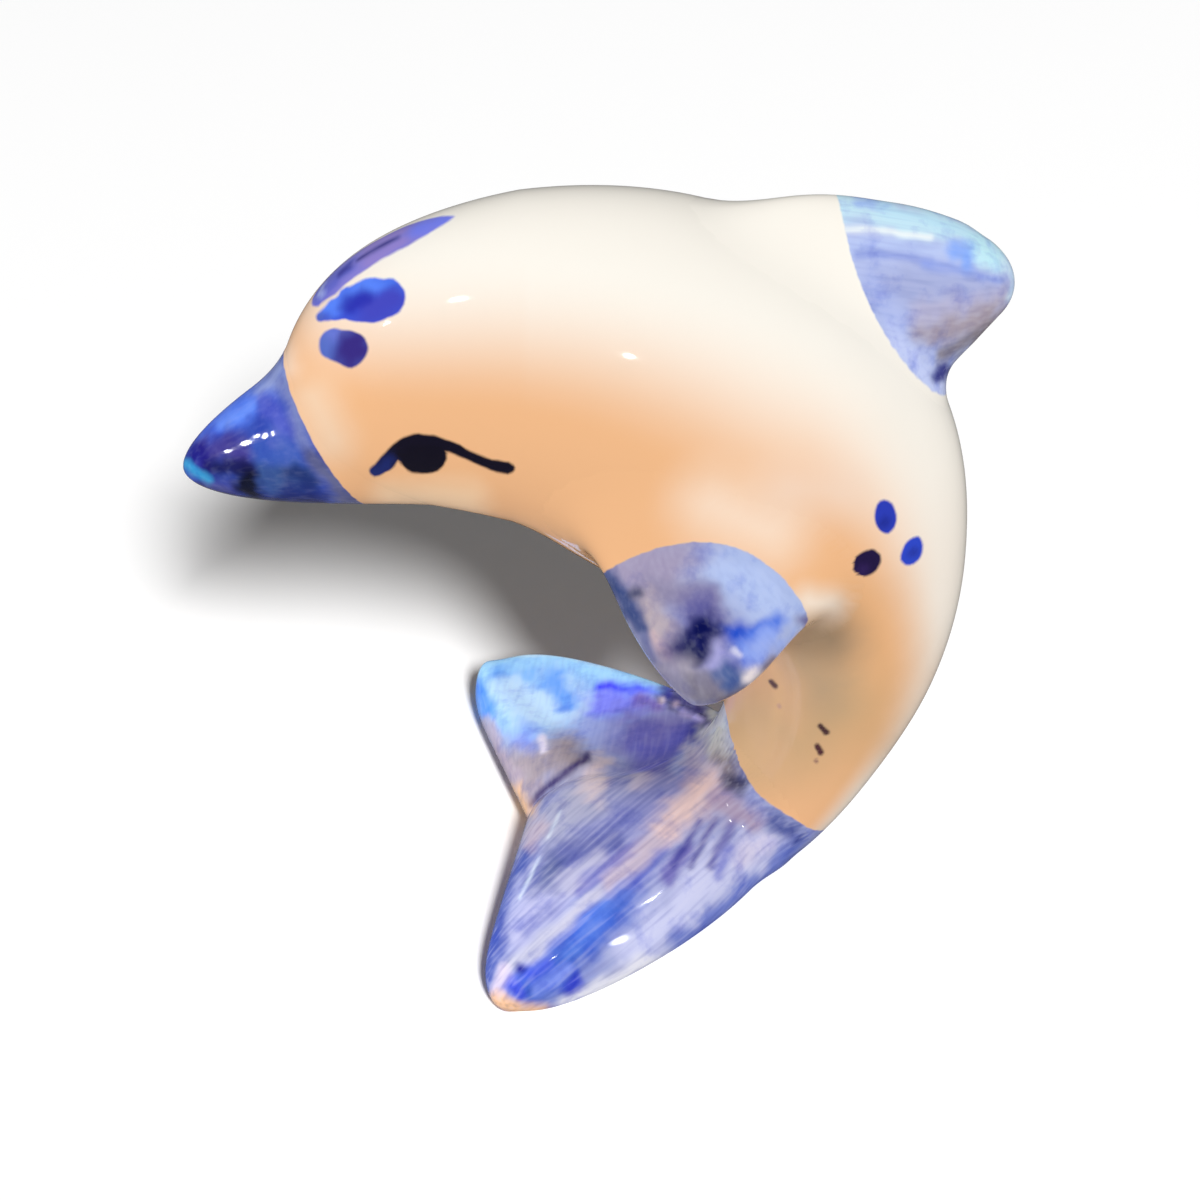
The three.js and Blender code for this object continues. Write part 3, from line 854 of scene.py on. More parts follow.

# %% [markdown]
# ## The flukes' wash
# The painter drew the brush along the lobes, from the stock to the tips, so that bands of bare clay show
# between the streaks. The far lobe is a clear sky blue, with a rim of painted light along its top edge and
# violet in the hollow that is partly paint and partly painted shade. Painted highlights lie along the near
# lobe's edge and on its lower face.

# %% Fluke wash
FLUKE_WASH_LIGHT_AND_SHADE = "#9aa2d2", [
    # the far lobe
    (46, "#86c2ff", 0.95, (500, 690), (560, 695), (600, 705)),
    (24, "#c2e2ff", 0.9, (506, 692), (542, 706), (574, 700)),
    (7, "#4a90fc", 0.9, (480, 682), (486, 712)),
    (7, "#5aa4fc", 0.8, (496, 668), (512, 660)),
    (7, "#6cb0fc", 0.7, (526, 670), (530, 676)),
    (11, "#5a9cfc", 0.85, (556, 682), (566, 698)),
    (12, "#8fb2f6", 0.8, (526, 730), (536, 750), (566, 738)),
    (8, "#7c98ee", 0.85, (523, 742), (530, 752)),
    (24, "#98a2e0", 0.85, (596, 732), (612, 742)),
    (22, "#a1969e", 0.95, (506, 768), (532, 770), (560, 756)),
    (12, "#b2a4b0", 0.85, (514, 786), (528, 791)),
    (4, "#e4def0", 0.8, (541, 738), (544, 750)),
    (18, "#8288ff", 0.95, (606, 698), (634, 702)),
    # violet in the hollow: partly paint, partly painted shade
    (28, "#7470b4", 0.95, (642, 734), (672, 736)),
    (22, "#5f62c4", 0.9, (652, 758), (678, 752)),
    (10, "#40409a", 0.9, (701, 716), (696, 742)),
    (7, "#a9bdf0", 0.85, (693, 749), (680, 768)),
    (4.5, "#4040ff", 0.95, (600, 685), (640, 687), (668, 691)),
    # painted light: the pale blue rim along the far lobe's top edge
    (9, "#a2d8ff", 0.95, (480, 668), (494, 656), (540, 656), (600, 667), (662, 682)),
    (3, "#d2f0ff", 0.9, (490, 654), (545, 652), (610, 664), (664, 677)),
    (6, "#b4a6ba", 0.85, (484, 722), (505, 765), (518, 792)),
    # the near lobe, from the notch to the leading edge
    (24, "#acb1d0", 0.95, (578, 803), (552, 833)),
    (12, "#dcd0d8", 0.9, (597, 768), (592, 788)),
    (8, "#cdc8dc", 0.8, (638, 782), (648, 782)),
    (19, "#8088c6", 0.9, (692, 785), (640, 810), (602, 838)),
    (14, "#6068aa", 0.9, (612, 846), (575, 855), (547, 880)),
    (11, "#616c9c", 0.8, (556, 868), (540, 894)),
    (10, "#b2b3d0", 0.85, (596, 864), (566, 886)),
    (7, "#6a6ab6", 0.9, (642, 845), (610, 868), (580, 890)),
    (19, "#afb2da", 0.9, (548, 905), (520, 937)),
    (8, "#8a90c4", 0.7, (552, 908), (528, 930)),
    (7, "#4c5fb0", 0.95, (531, 850), (510, 882), (498, 920), (490, 960), (485, 985)),
    (6, "#3c55b8", 0.8, (494, 938), (490, 952)),
    (8, "#4a5cb0", 0.85, (502, 946), (500, 954)),
    (8, "#c2b4c6", 0.85, (540, 826), (530, 845)),
    # painted highlights: thin pale lines along the near lobe's edge
    (1.4, "#dcecfa", 0.65, (560, 812), (548, 838)),
    (1.4, "#dcecfa", 0.65, (539, 858), (530, 878), (520, 898)),
    (25, "#ccd0f2", 0.95, (752, 850), (705, 885), (672, 922), (640, 948)),
    (12, "#d4cee8", 0.8, (748, 850), (762, 842)),
    (25, "#3c62c8", 0.95, (612, 906), (585, 932), (560, 962), (532, 984)),
    (11, "#3a62d6", 0.8, (596, 920), (580, 938)),
    (9, "#5a80dc", 0.7, (606, 902), (574, 950)),
    (10, "#5563c0", 0.9, (656, 850), (634, 884)),
    (7, "#6a64b4", 0.85, (690, 848), (668, 880)),
    (14, "#e3cbc8", 0.95, (706, 782), (690, 804), (666, 830)),
    (10, "#bfb4c6", 0.95, (652, 842), (636, 862), (610, 884)),
    (7, "#bdbfd4", 0.95, (598, 892), (565, 918), (535, 945), (508, 968)),
    (3, "#4a4a9e", 0.8, (700, 820), (674, 868)),
    (3, "#54509e", 0.8, (716, 818), (692, 866)),
    (4, "#5a58a8", 0.8, (737, 814), (712, 866)),
    (5, "#6c74cc", 0.75, (730, 848), (718, 876)),
    (10, "#6578cc", 0.9, (806, 840), (760, 880), (715, 918), (680, 944)),
    # painted light and highlights on the near lobe's lower face
    (8, "#eeeef8", 0.95, (652, 964), (600, 990), (566, 1000)),
    (12, "#515c9e", 0.95, (772, 820), (796, 833)),
    (6, "#d8cce0", 0.9, (504, 972), (498, 988)),
    (9, "#4a5cdc", 0.8, (545, 964), (530, 972)),
    (6, "#8298f0", 0.8, (538, 988), (552, 980), (566, 968)),
    (5, "#161a8c", 1.0, (520, 969)),
    (9, "#4050d4", 0.9, (513, 986), (518, 990)),
    (9, "#2c3cc6", 0.95, (568, 984), (573, 982)),
    (7, "#f4c49c", 1.0, (495, 1000), (520, 1009), (546, 1011)),
    # where the lobes meet each other and the stock
    (14, "#aa98b4", 0.9, (724, 798), (746, 815)),
    (14, "#c6cac6", 0.95, (714, 710), (718, 735), (722, 746)),
    (12, "#8d8388", 0.9, (722, 758), (731, 768)),
    (10, "#b9b4cc", 0.85, (694, 752), (702, 770)),
    (8, "#46435c", 0.95, (730, 779), (742, 781)),
    (8, "#2b2270", 0.85, (668, 694), (690, 706), (704, 717)),
    (6, "#7a66b8", 0.8, (640, 700), (660, 705)),
    (3, "#d8cbd6", 0.9, (662, 700)),
    (3, "#b9a9c4", 0.8, (676, 704)),
    (3, "#a7a2dc", 0.9, (682, 713), (701, 719)),
    (3.4, "#40356e", 0.95, (532, 803), (545, 789), (557, 780), (572, 767), (586, 757)),
    (9, "#f6c9a0", 1.0, (518, 796), (526, 807)),
]
print("strokes on the flukes:", len(FLUKE_WASH_LIGHT_AND_SHADE[1]))

# %% [markdown]
# ## Where each wash ends
# The painter stopped a little past each luted piece, so the edge of the blue runs partly over the casting.
# Each edge is a simple line in space: a tilted plane for the beak, a curve in the side view for the back
# fin and the tail, and a parabola on the paddle's own axes for the flippers.

# %% Wash edges
BEAK_EDGE_TILT = 0.51
BEAK_EDGE_PLACE = 8.15
BEAK_EDGE_END = -5.0
DORSAL_EDGE = (27.3, 0.10, 0.028)
DORSAL_EDGE_TOP = 60.0
DORSAL_EDGE_END = 42.0
FLIPPER_EDGE = (-1.65, 0.045, -1.0)
FLIPPER_EDGE_REACH = 9.2
FLIPPER_EDGE_INNER = 8.5
TAIL_EDGE = [
    # place along the figurine and height
    (18.5, 17), (19.5, 13.8), (19.9, 11.6), (20.8, 10), (22, 8.6), (24.5, 6.9), (26.2, 5.1), (31, 0.5),
]
TAIL_EDGE_SLANT = 0.6
TAIL_EDGE_END = 18.0


def beak_edge(p):
    """Distance ahead of a plane that leans forward at the top."""
    ahead = BEAK_EDGE_PLACE - p[..., 0] - BEAK_EDGE_TILT * p[..., 2]
    return np.minimum(ahead / math.hypot(1, BEAK_EDGE_TILT), BEAK_EDGE_END - p[..., 0])


def dorsal_edge(p):
    """Distance aft of a parabola in the side view: x = a + b d + c d^2 at d below the fin's top."""
    place, lean, curl = DORSAL_EDGE
    below = np.maximum(DORSAL_EDGE_TOP - p[..., 2], 0)
    slope = np.hypot(1, lean + 2 * curl * below)
    aft = (p[..., 0] - place - lean * below - curl * below**2) / slope
    return np.minimum(aft, p[..., 2] - DORSAL_EDGE_END)


def flipper_edge(p):
    """Distance out along the paddle past a parabola across its chord, no wider than the paddle and not as
    far in as the belly."""
    place, curl, middle = FLIPPER_EDGE
    seat, along, chord, _ = flipper_axes()
    gap = left_side(p) * [1, -1, 1] - seat
    across = dot(gap, chord)[..., 0] - middle
    past = (dot(gap, along)[..., 0] - place - curl * across**2) / np.hypot(1, 2 * curl * across)
    past = np.minimum(past, FLIPPER_EDGE_REACH - np.abs(across))
    return np.minimum(past, np.abs(p[..., 1]) - FLIPPER_EDGE_INNER)


def tail_edge(p):
    """Distance below a line in the side view that falls from the front of the stock to its back."""
    fall = np.interp(p[..., 0], *np.transpose(TAIL_EDGE))
    return np.minimum(TAIL_EDGE_SLANT * (fall - p[..., 2]), TAIL_EDGE_END - p[..., 2])


EDGES = {"beak": beak_edge, "fin": dorsal_edge, "flipper": flipper_edge, "tail": tail_edge}
for wash_name, wash_edge in EDGES.items():
    share = (wash_edge(body_grid) > 0).mean()
    print("the", wash_name, "wash covers", round(100 * float(share), 1), "% of the casting's points")

# %% [markdown]
# ## The liner's marks
# With a fine brush the painter added the eye, a fan of petals on the forehead and three dots behind the
# flipper. Each mark is one touch that swells and thins: points across, down and half width in pixels of
# the photograph. Inside, the ink has strokes of its own, because cobalt pools where the brush lifts. A few
# pits in the glaze are marks too.

# %% Marks
OVAL_POINTS = 7


def oval(across, down, long, short, lean):
    """Path of a brush that leaves an oval: at u along the long axis its half width is
    short (1 - u^2 / (long^2 - short^2))^1/2."""
    spread = long**2 - short**2
    u = np.linspace(-1, 1, OVAL_POINTS) * spread / long
    half = short * np.sqrt(1 - u**2 / spread)
    turn = math.radians(lean)
    return np.stack([across + u * math.cos(turn), down + u * math.sin(turn), half], -1)


MARKS = [
    # path, ink and the strokes in the ink
    ([(376, 471, 6), (386, 463, 8), (396, 452, 8.5), (406, 445, 8), (418, 440, 6.5), (436, 442, 6),
      (452, 448, 5.5), (470, 456, 5), (490, 464, 5.5), (508, 468, 6.5)], "#100c20",
     [(10, "#1c2a70", 0.9, (372, 474), (386, 463))]),
    ([(416, 457, 16), (430, 457, 16)], "#0e0a1c", []),
    ([(320, 317, 4.5), (337, 309, 11), (354, 304, 18), (372, 300, 22.5), (385, 298, 20)], "#3f56d6", [
        (13, "#5c8aff", 0.9, (330, 302), (350, 288), (374, 282)),
        (15, "#4648be", 0.9, (372, 312), (392, 302)),
        (9, "#4c78f0", 0.8, (392, 280), (400, 280)),
        (8, "#2a2eb0", 0.9, (350, 306), (366, 298)),
        (7, "#5468c0", 0.8, (319, 317)),
    ]),
    ([(334, 344, 15.5), (350, 349, 18)], "#5064c0", [
        (9, "#6c7cd8", 0.85, (330, 338), (342, 332)),
        (8, "#5870c4", 0.8, (322, 345), (330, 354)),
        (16, "#38287e", 0.95, (354, 346), (354, 356)),
    ]),
    ([(316, 302, 5), (332, 285, 9), (350, 267, 10.5), (375, 250, 11), (400, 238, 10.5), (425, 226, 8.5),
      (445, 217, 5.5), (452, 214.5, 3.5)], "#8a84dc", [
        (9, "#7886fa", 0.9, (416, 228), (450, 215)),
        (8, "#5c66d0", 0.8, (318, 300), (332, 284), (348, 268)),
        (6, "#9d8ad6", 0.7, (368, 260), (402, 243)),
        (5, "#3a3a9c", 0.85, (339, 273), (347, 265)),
        (4, "#29267a", 0.95, (357, 256), (375, 245), (393, 235)),
        (4, "#b4c2f8", 0.7, (321, 294)),
    ]),
    (oval(885.5, 516.5, 17, 11, 84), "#2a3cb8", [(6, "#1d2a90", 0.8, (886, 522))]),
    (oval(912, 551, 15.5, 10, -62), "#2c48cc", [(5, "#2434a0", 0.8, (911, 553))]),
    (oval(866.5, 563, 16, 11.5, -38), "#1f1140", [(6, "#33205c", 0.7, (862, 570))]),
    ([(771, 682, 2.6), (775, 686, 3.2)], "#5a4040", []),
    ([(820, 726, 2.8), (826, 732, 3.2)], "#4a3034", []),
    ([(817, 745, 2.6), (821, 753, 3.4)], "#523036", []),
    ([(815, 761, 1.6), (816, 762, 1.6)], "#a07868", []),
    ([(779, 705, 1.6), (780, 707, 1.6)], "#c09888", []),
]
print("marks on each flank:", len(MARKS))

# %% [markdown]
# ## From pixels to the clay
# A real brush touches only what faces it. So each point of a mesh is looked up in the photograph, mirrored
# if it lies on the right flank, and takes a mark only where its surface faces the camera. The mark that it
# lies deepest in gives the depth and the ink. A decal could be projected instead, but it needs a picture.

# %% Marks on the clay
NO_MARK = -9.0
LINER_TREMBLE = 1.0
LINER_TREMBLE_SIZE = 0.9
MOST_TURNED = 0.1


def painted_marks(p, normal):
    """Depth in mm inside the nearest mark, negative outside, and that mark's ink. Only points that the
    camera, or its mirror image, could see are marked."""
    left = left_side(p)
    turned = normal * [1, 0, 1] - np.abs(normal) * [0, 1, 0]
    facing = dot(turned, FORWARD)[..., 0] < MOST_TURNED
    pixels = photo_pixels(left) + LINER_TREMBLE * tremble(left, LINER_TREMBLE_SIZE)
    depth = np.full(p.shape[:-1], NO_MARK)
    ink = np.zeros(p.shape)
    for path, ground, strokes in MARKS:
        inside = np.where(facing, inside_brush(pixels, path) / PIXELS_PER_MM, NO_MARK)
        nearest = inside > depth
        ink = np.where(nearest[..., None], brushed(left, linear(ground), strokes), ink)
        depth = np.where(nearest, inside, depth)
    return depth, ink


coarse = body_grid[::SAMPLE_STEP, ::SAMPLE_STEP]
covered = (painted_marks(coarse, outward(coarse))[0] > 0).mean()
print("marks cover about", round(100 * float(covered), 1), "% of the casting's points")

# %% [markdown]
# ## The clay under the glaze
# The cream clay shows through the clear glaze, and light and shade are painted into its tone: ivory where
# the surface faces up, as painted light from above, and warmer peach on the flanks and below, as painted
# warm shade. The tone follows the way the surface faces, so it is the same from every side. Strokes of
# painted shade make it greyer behind the flippers and on the tail stock, strokes of painted light make it
# paler on the forehead's edge, under the eye and above the flippers, and it is paler beside the beak too.

# %% Clay tone
# ivory stands for painted light on faces turned up, peach for painted warm shade on the flanks and below
IVORY = "#fffaf0"
PEACH = "#f2bb8a"
PAINTED_LIGHT_AND_SHADE = [
    (18, "#f2d8bd", 0.7, (314, 398), (332, 440)),
    # painted light: paler on the forehead's edge, under the eye and above the flipper
    (9, "#ffe0c6", 0.8, (284, 348), (290, 366)),
    (14, "#ffdcb4", 0.9, (390, 498), (470, 500)),
    (30, "#fde9d6", 0.75, (712, 506), (770, 530)),
    (24, "#f4dcca", 0.6, (790, 488), (840, 492)),
    # painted shade: darker right of and behind the flipper and on the tail stock
    (34, "#e8b27e", 0.75, (864, 620), (886, 670), (868, 716)),
    (36, "#caa97f", 0.85, (765, 720), (800, 745), (840, 710)),
    (24, "#cfae86", 0.8, (740, 722), (748, 768)),
    (24, "#a08c72", 0.85, (816, 634), (832, 640)),
    (22, "#b49c7e", 0.75, (800, 660), (822, 690)),
    # a painted highlight on the fold behind the flipper's trailing corner
    (12, "#fdeedd", 0.9, (808, 602), (830, 604)),
]
SIDE_SHARE = 0.35
FRONT_SHARE = 0.3
WARM_FROM = 0.82
WARM_RANGE = 0.8
AFT_FADE = 0.85
AFT_FROM = 0.24
AFT_RANGE = 0.5
OWN_HEIGHT = 6.0
LIGHT_AND_SHADE_SOFTNESS = 1.4
LIGHT_AND_SHADE_TREMBLE = 0.3


def clay_with_painted_light(p, normal):
    """Painted light and shade in the clay's tone: ivory where the surface faces up, peach where it faces
    sideways or down, paler towards the tail, then strokes of painted light and shade. Close to the casting,
    the casting's own direction counts, so that a fillet has no seam."""
    height, up = stand_off(p)
    own = ease(height / OWN_HEIGHT)
    facing = unit(up * (1 - own) + normal * own)
    aft, level = facing[..., :1], facing[..., 2:]
    raised = level + SIDE_SHARE * np.maximum(aft, 0) + FRONT_SHARE * np.minimum(aft, 0)
    warm = ease((WARM_FROM - raised) / WARM_RANGE)
    warm = warm * (1 - AFT_FADE * ease((aft - AFT_FROM) / AFT_RANGE))
    tone = linear(IVORY) + (linear(PEACH) - linear(IVORY)) * warm
    return brushed(left_side(p), tone, PAINTED_LIGHT_AND_SHADE, LIGHT_AND_SHADE_SOFTNESS, LIGHT_AND_SHADE_TREMBLE)


print("clay from", linear(IVORY).round(2), "to", linear(PEACH).round(2))

# %% [markdown]
# ## Painting the pieces
# Every piece gets the same five layers, stored on its points: the clay's tone with its painted light and
# shade, the wash and the distance to the wash's edge, and the ink of the marks and the distance to theirs.
# The casting takes a little of every wash, so each of its points takes the one whose edge it lies furthest
# inside.

# %% Paint
def store(piece, name, values):
    """Writes one value or colour for each point of a grid; the two closing points repeat their ring."""
    flat = values.reshape(-1, *values.shape[2:])
    flat = np.concatenate([flat, values[:1].mean(1), values[-1:].mean(1)])
    if flat.ndim == 1:
        attribute = piece.data.attributes.new(name, "FLOAT", "POINT")
        attribute.data.foreach_set("value", flat.astype(np.float32))
        return
    rgba = np.concatenate([flat, np.ones((len(flat), 1))], -1)
    attribute = piece.data.attributes.new(name, "FLOAT_COLOR", "POINT")
    attribute.data.foreach_set("color", rgba.astype(np.float32).ravel())


def fluke_wash_light_and_shade(p):
    """The flukes' wash with its painted light and shade, which differs between the lobes."""
    return brushed(p, linear(FLUKE_WASH_LIGHT_AND_SHADE[0]), FLUKE_WASH_LIGHT_AND_SHADE[1])


def mirrored_wash(recipe):
    """A wash that is alike on both flanks."""
    ground, strokes = recipe
    return lambda p: brushed(left_side(p), linear(ground), strokes)


WASHES = {
    "beak": mirrored_wash(BEAK_WASH),
    "fin": mirrored_wash(DORSAL_WASH_AND_PAINTED_LIGHT),
    "flipper": mirrored_wash(FLIPPER_WASH),
    "tail": fluke_wash_light_and_shade,
}


def paint(piece, grid, names):
    """Stores the five layers of a piece that takes the named washes."""
    normal = outward(grid)
    edges = np.stack([EDGES[name](grid) for name in names])
    colours = np.stack([WASHES[name](grid) for name in names])
    deepest = edges.argmax(0)
    mark, ink = painted_marks(grid, normal)
    store(piece, "clay", clay_with_painted_light(grid, normal))
    store(piece, "edge", edges.max(0))
    store(piece, "wash", np.take_along_axis(colours, deepest[None, ..., None], 0)[0])
    store(piece, "mark", mark)
    store(piece, "ink", ink)
    print(piece.name, "washed:", round(100 * float((edges.max(0) > 0).mean())), "% of its points")


paint(body, body_grid, list(WASHES))
paint(beak, beak_grid, ["beak"])
paint(dorsal, dorsal_grid, ["fin"])
paint(left_flipper, left_flipper_grid, ["flipper"])
paint(right_flipper, right_flipper_grid, ["flipper"])
paint(left_fluke, left_fluke_grid, ["tail"])
paint(right_fluke, right_fluke_grid, ["tail"])

# %% [markdown]
# ## Adding nodes
# A material is a small graph of nodes. One function adds any node, with its settings and its links, so the
# materials below read in the order in which the real surface was made.

# %% Node helper
def add_node(tree, kind, inputs=None, **settings):
    """Adds a node: settings are its properties, and each input is a value or the socket to link from."""
    node = tree.nodes.new(kind)
    for key, value in settings.items():
        setattr(node, key, value)
    for key, value in (inputs or {}).items():
        if isinstance(value, bpy.types.NodeSocket):
            tree.links.new(value, node.inputs[key])
        else:
            node.inputs[key].default_value = value
    return node


def opaque(code):
    """A hex colour as a socket wants it: linear and with full alpha."""
    return (*linear(code), 1)


def new_material(name):
    """A material with an empty graph."""
    material = bpy.data.materials.new(name)
    material.use_nodes = True
    material.node_tree.nodes.clear()
    return material


print("a socket's white:", [float(part) for part in opaque("#ffffff")])

# %% [markdown]
# ## The unevenness of hand work
# The hairs of the brush leave lines in the thin cobalt, wet cobalt gathers in pools, painted edges tremble,
# and molten glaze keeps a slow ripple. A picture of brushwork could be wrapped round each piece. Noises in
# the piece's own coordinates need no picture. The hairs are a noise stretched along the brush.

# %% Unevenness
HAIR_WIDTH = 0.38
HAIR_LENGTH = 5.0
HAIR_DETAIL = 0.5
BLOTCHES = {
    # size in mm, detail and roughness
    "pools": (2.4, 4.0, 0.6),
    "edges": (0.9, 2.0, 0.5),
    "ripple": (3.0, 1.0, 0.5),
}


def unevenness(tree, brush_turn):
    """Noises from 0 to 1: the hairs on axes turned and stretched with the brush, and the round blotches."""
    place = add_node(tree, "ShaderNodeTexCoord").outputs["Object"]
    stretch = {
        "Vector": place,
        "Rotation": [math.radians(turn) for turn in brush_turn],
        "Scale": (HAIR_LENGTH * MM, HAIR_WIDTH * MM, HAIR_WIDTH * MM),
    }
    along = add_node(tree, "ShaderNodeMapping", stretch, vector_type="TEXTURE").outputs["Vector"]
    patterns = {"hairs": {"Vector": along, "Scale": 1.0, "Detail": HAIR_DETAIL}}
    for name, (size, detail, roughness) in BLOTCHES.items():
        patterns[name] = {
            "Vector": place,
            "Scale": 1 / (size * MM),
            "Detail": detail,
            "Roughness": roughness,
        }
    return {name: add_node(tree, "ShaderNodeTexNoise", patterns[name]).outputs["Fac"] for name in patterns}


print("blotches in mm:", {name: values[0] for name, values in BLOTCHES.items()})

# %% [markdown]
# ## Streaks and edges
# A painter works in layers, and so does the material: each layer is a colour and a share from 0 to 1 that
# says how much of it shows. Dark streaks multiply the colour below, as more pigment does, and pale ones
# cover it. Whole areas of paint are laid on in the same way, up to the edge that is stored on the mesh.

# %% Streaks and edges
STREAKS = [
    # noise, its levels where the streak starts and is full, strength there, colour and way of blending
    ("hairs", 0.5, 0.75, 0.34, "#5a68c0", "MULTIPLY"),
    ("pools", 0.5, 0.7, 0.42, "#8a98e6", "MULTIPLY"),
    ("pools", 0.5, 0.3, 0.05, "#dfe0f4", "MIX"),
    ("hairs", 0.48, 0.28, 0.2, "#dfe0f4", "MIX"),
]
# how far a painted edge trembles and how soft it is, in mm
WASH_EDGE = (0.25, 0.09)
MARK_EDGE = (0.12, 0.16)


def streaked(tree, wash, noises, dryness):
    """The wash's colour with streaks laid over it in proportion to their noises. Dryness scales the hairs."""
    colour = wash
    for name, start, full, strength, code, blending in STREAKS:
        most = strength * dryness if name == "hairs" else strength
        levels = {"Value": noises[name], "From Min": start, "From Max": full, "To Max": most}
        share = add_node(tree, "ShaderNodeMapRange", levels).outputs["Result"]
        layers = {"Factor": share, "A": colour, "B": opaque(code)}
        mixed = add_node(tree, "ShaderNodeMix", layers, data_type="RGBA", blend_type=blending)
        colour = mixed.outputs["Result"]
    return colour


def laid_on(tree, ground, paint, depth, shake, edge):
    """Paint on a ground up to a trembling edge: a soft step of depth + tremble x shake, from bare ground at
    the softness outside the edge to full paint at the softness inside it."""
    amount, softness = edge
    moved = add_node(tree, "ShaderNodeMath", {0: shake, 1: amount, 2: depth}, operation="MULTIPLY_ADD")
    limits = {"Value": moved.outputs["Value"], "From Min": -softness, "From Max": softness}
    share = add_node(tree, "ShaderNodeMapRange", limits, interpolation_type="SMOOTHSTEP").outputs["Result"]
    layers = {"Factor": share, "A": ground, "B": paint}
    return add_node(tree, "ShaderNodeMix", layers, data_type="RGBA").outputs["Result"]


print("layers of streaks:", len(STREAKS))

# %% [markdown]
# ## The glazed surface
# Clear lead glaze over painted earthenware: matt colour under a smooth clear reflection. One material serves
# clay and paint, because one glaze covers both. It was fluid in the kiln, so it is very smooth, and only the
# slow ripple bends its reflections.

# %% Glaze material
GLAZE_IOR = 1.5
GLAZE_ROUGHNESS = 0.07
GLAZE_SPECULAR = 0.4
RIPPLE_HEIGHT = 0.15
RIPPLE_STRENGTH = 0.12
NOISE_MIDDLE = 0.5
LAYERS = ("clay", "wash", "edge", "mark", "ink")


def painted_glaze(name, brush_turn, dryness):
    """Clear-glazed painted earthenware; brush_turn is the turn of the brush hairs in degrees, and dryness
    says how clearly the hairs show, from 0 to 1."""
    material = new_material(name)
    tree = material.node_tree
    # the clay layer holds the clay's tone with its painted light and shade
    clay, wash, edge, mark, ink = [
        add_node(tree, "ShaderNodeAttribute", attribute_name=layer).outputs for layer in LAYERS
    ]
    noises = unevenness(tree, brush_turn)
    centred = add_node(tree, "ShaderNodeMath", {0: noises["edges"], 1: NOISE_MIDDLE}, operation="SUBTRACT")
    shake = centred.outputs["Value"]
    streaks = streaked(tree, wash["Color"], noises, dryness)
    washed = laid_on(tree, clay["Color"], streaks, edge["Fac"], shake, WASH_EDGE)
    painted = laid_on(tree, washed, ink["Color"], mark["Fac"], shake, MARK_EDGE)
    ripple = {"Height": noises["ripple"], "Strength": RIPPLE_STRENGTH, "Distance": RIPPLE_HEIGHT * MM}
    glaze = add_node(tree, "ShaderNodeBsdfPrincipled", {
        "Base Color": painted,
        "Roughness": GLAZE_ROUGHNESS,
        "IOR": GLAZE_IOR,
        "Specular IOR Level": GLAZE_SPECULAR,
        "Normal": add_node(tree, "ShaderNodeBump", ripple).outputs["Normal"],
    })
    add_node(tree, "ShaderNodeOutputMaterial", {"Surface": glaze.outputs["BSDF"]})
    return material


FINISHES = [
    # piece, finish, turn of the brush, dryness
    (body, "cream_glazed_earthenware", (0, 0, 0), 0.3),
    (beak, "cobalt_brushed_beak", (0, -16, 0), 0.15),
    (dorsal, "thin_cobalt_wash_fin", (0, 10, 0), 0.4),
    (left_flipper, "grey_blue_wash_left_paddle", (0, 60, 40), 0.2),
    (right_flipper, "grey_blue_wash_right_paddle", (0, 60, -40), 0.2),
    (left_fluke, "streaked_cobalt_near_lobe", (0, -13, 40), 0.75),
    (right_fluke, "streaked_cobalt_far_lobe", (0, 0, 78), 0.3),
]
for piece, finish, brush_turn, dryness in FINISHES:
    piece.data.materials.append(painted_glaze(finish, brush_turn, dryness))
print("glazed", len(FINISHES), "pieces")

# %% [markdown]
# ## Floor
# A plain sheet of white paper. The camera sees it white where no shadow falls. It throws a little less light
# back on the figurine, and the glaze mirrors it dimmed, as it does when black card stands round a set, which
# keeps the dark marks dark.

# %% Floor
FLOOR_SIZE = 4.0
FLOOR_SEEN = 1.0
FLOOR_TONE = 0.75
FLOOR_MIRRORED = 0.12


def grey(level):
    """An opaque grey of a linear level."""
    return (level, level, level, 1)


bpy.ops.mesh.primitive_plane_add(size=FLOOR_SIZE)
floor = bpy.context.object
floor.name = "floor"
paper = new_material("white_paper")
tree = paper.node_tree
ray = add_node(tree, "ShaderNodeLightPath").outputs
sheet = grey(FLOOR_TONE)
for seen_by, tone in (("Is Glossy Ray", FLOOR_MIRRORED), ("Is Camera Ray", FLOOR_SEEN)):
    layers = {"Factor": ray[seen_by], "A": sheet, "B": grey(tone)}
    sheet = add_node(tree, "ShaderNodeMix", layers, data_type="RGBA").outputs["Result"]
matt = add_node(tree, "ShaderNodeBsdfDiffuse", {"Color": sheet})
add_node(tree, "ShaderNodeOutputMaterial", {"Surface": matt.outputs["BSDF"]})
floor.data.materials.append(paper)
print("paper:", FLOOR_SIZE, "m wide, tone", FLOOR_TONE, "and", FLOOR_MIRRORED, "in reflections")

# %% [markdown]
# ## The room
# The photograph was lit by a bright tent and by rows of small lamps. A dim even room stands in for the tent's
# walls. One function sets up an oval lamp that faces the figurine, and each lamp is linked to the pieces that
# it may light, as a studio keeps light off the rest with flags.

# %% Room
ROOM_TONE = 1.0
ROOM_STRENGTH = 0.06


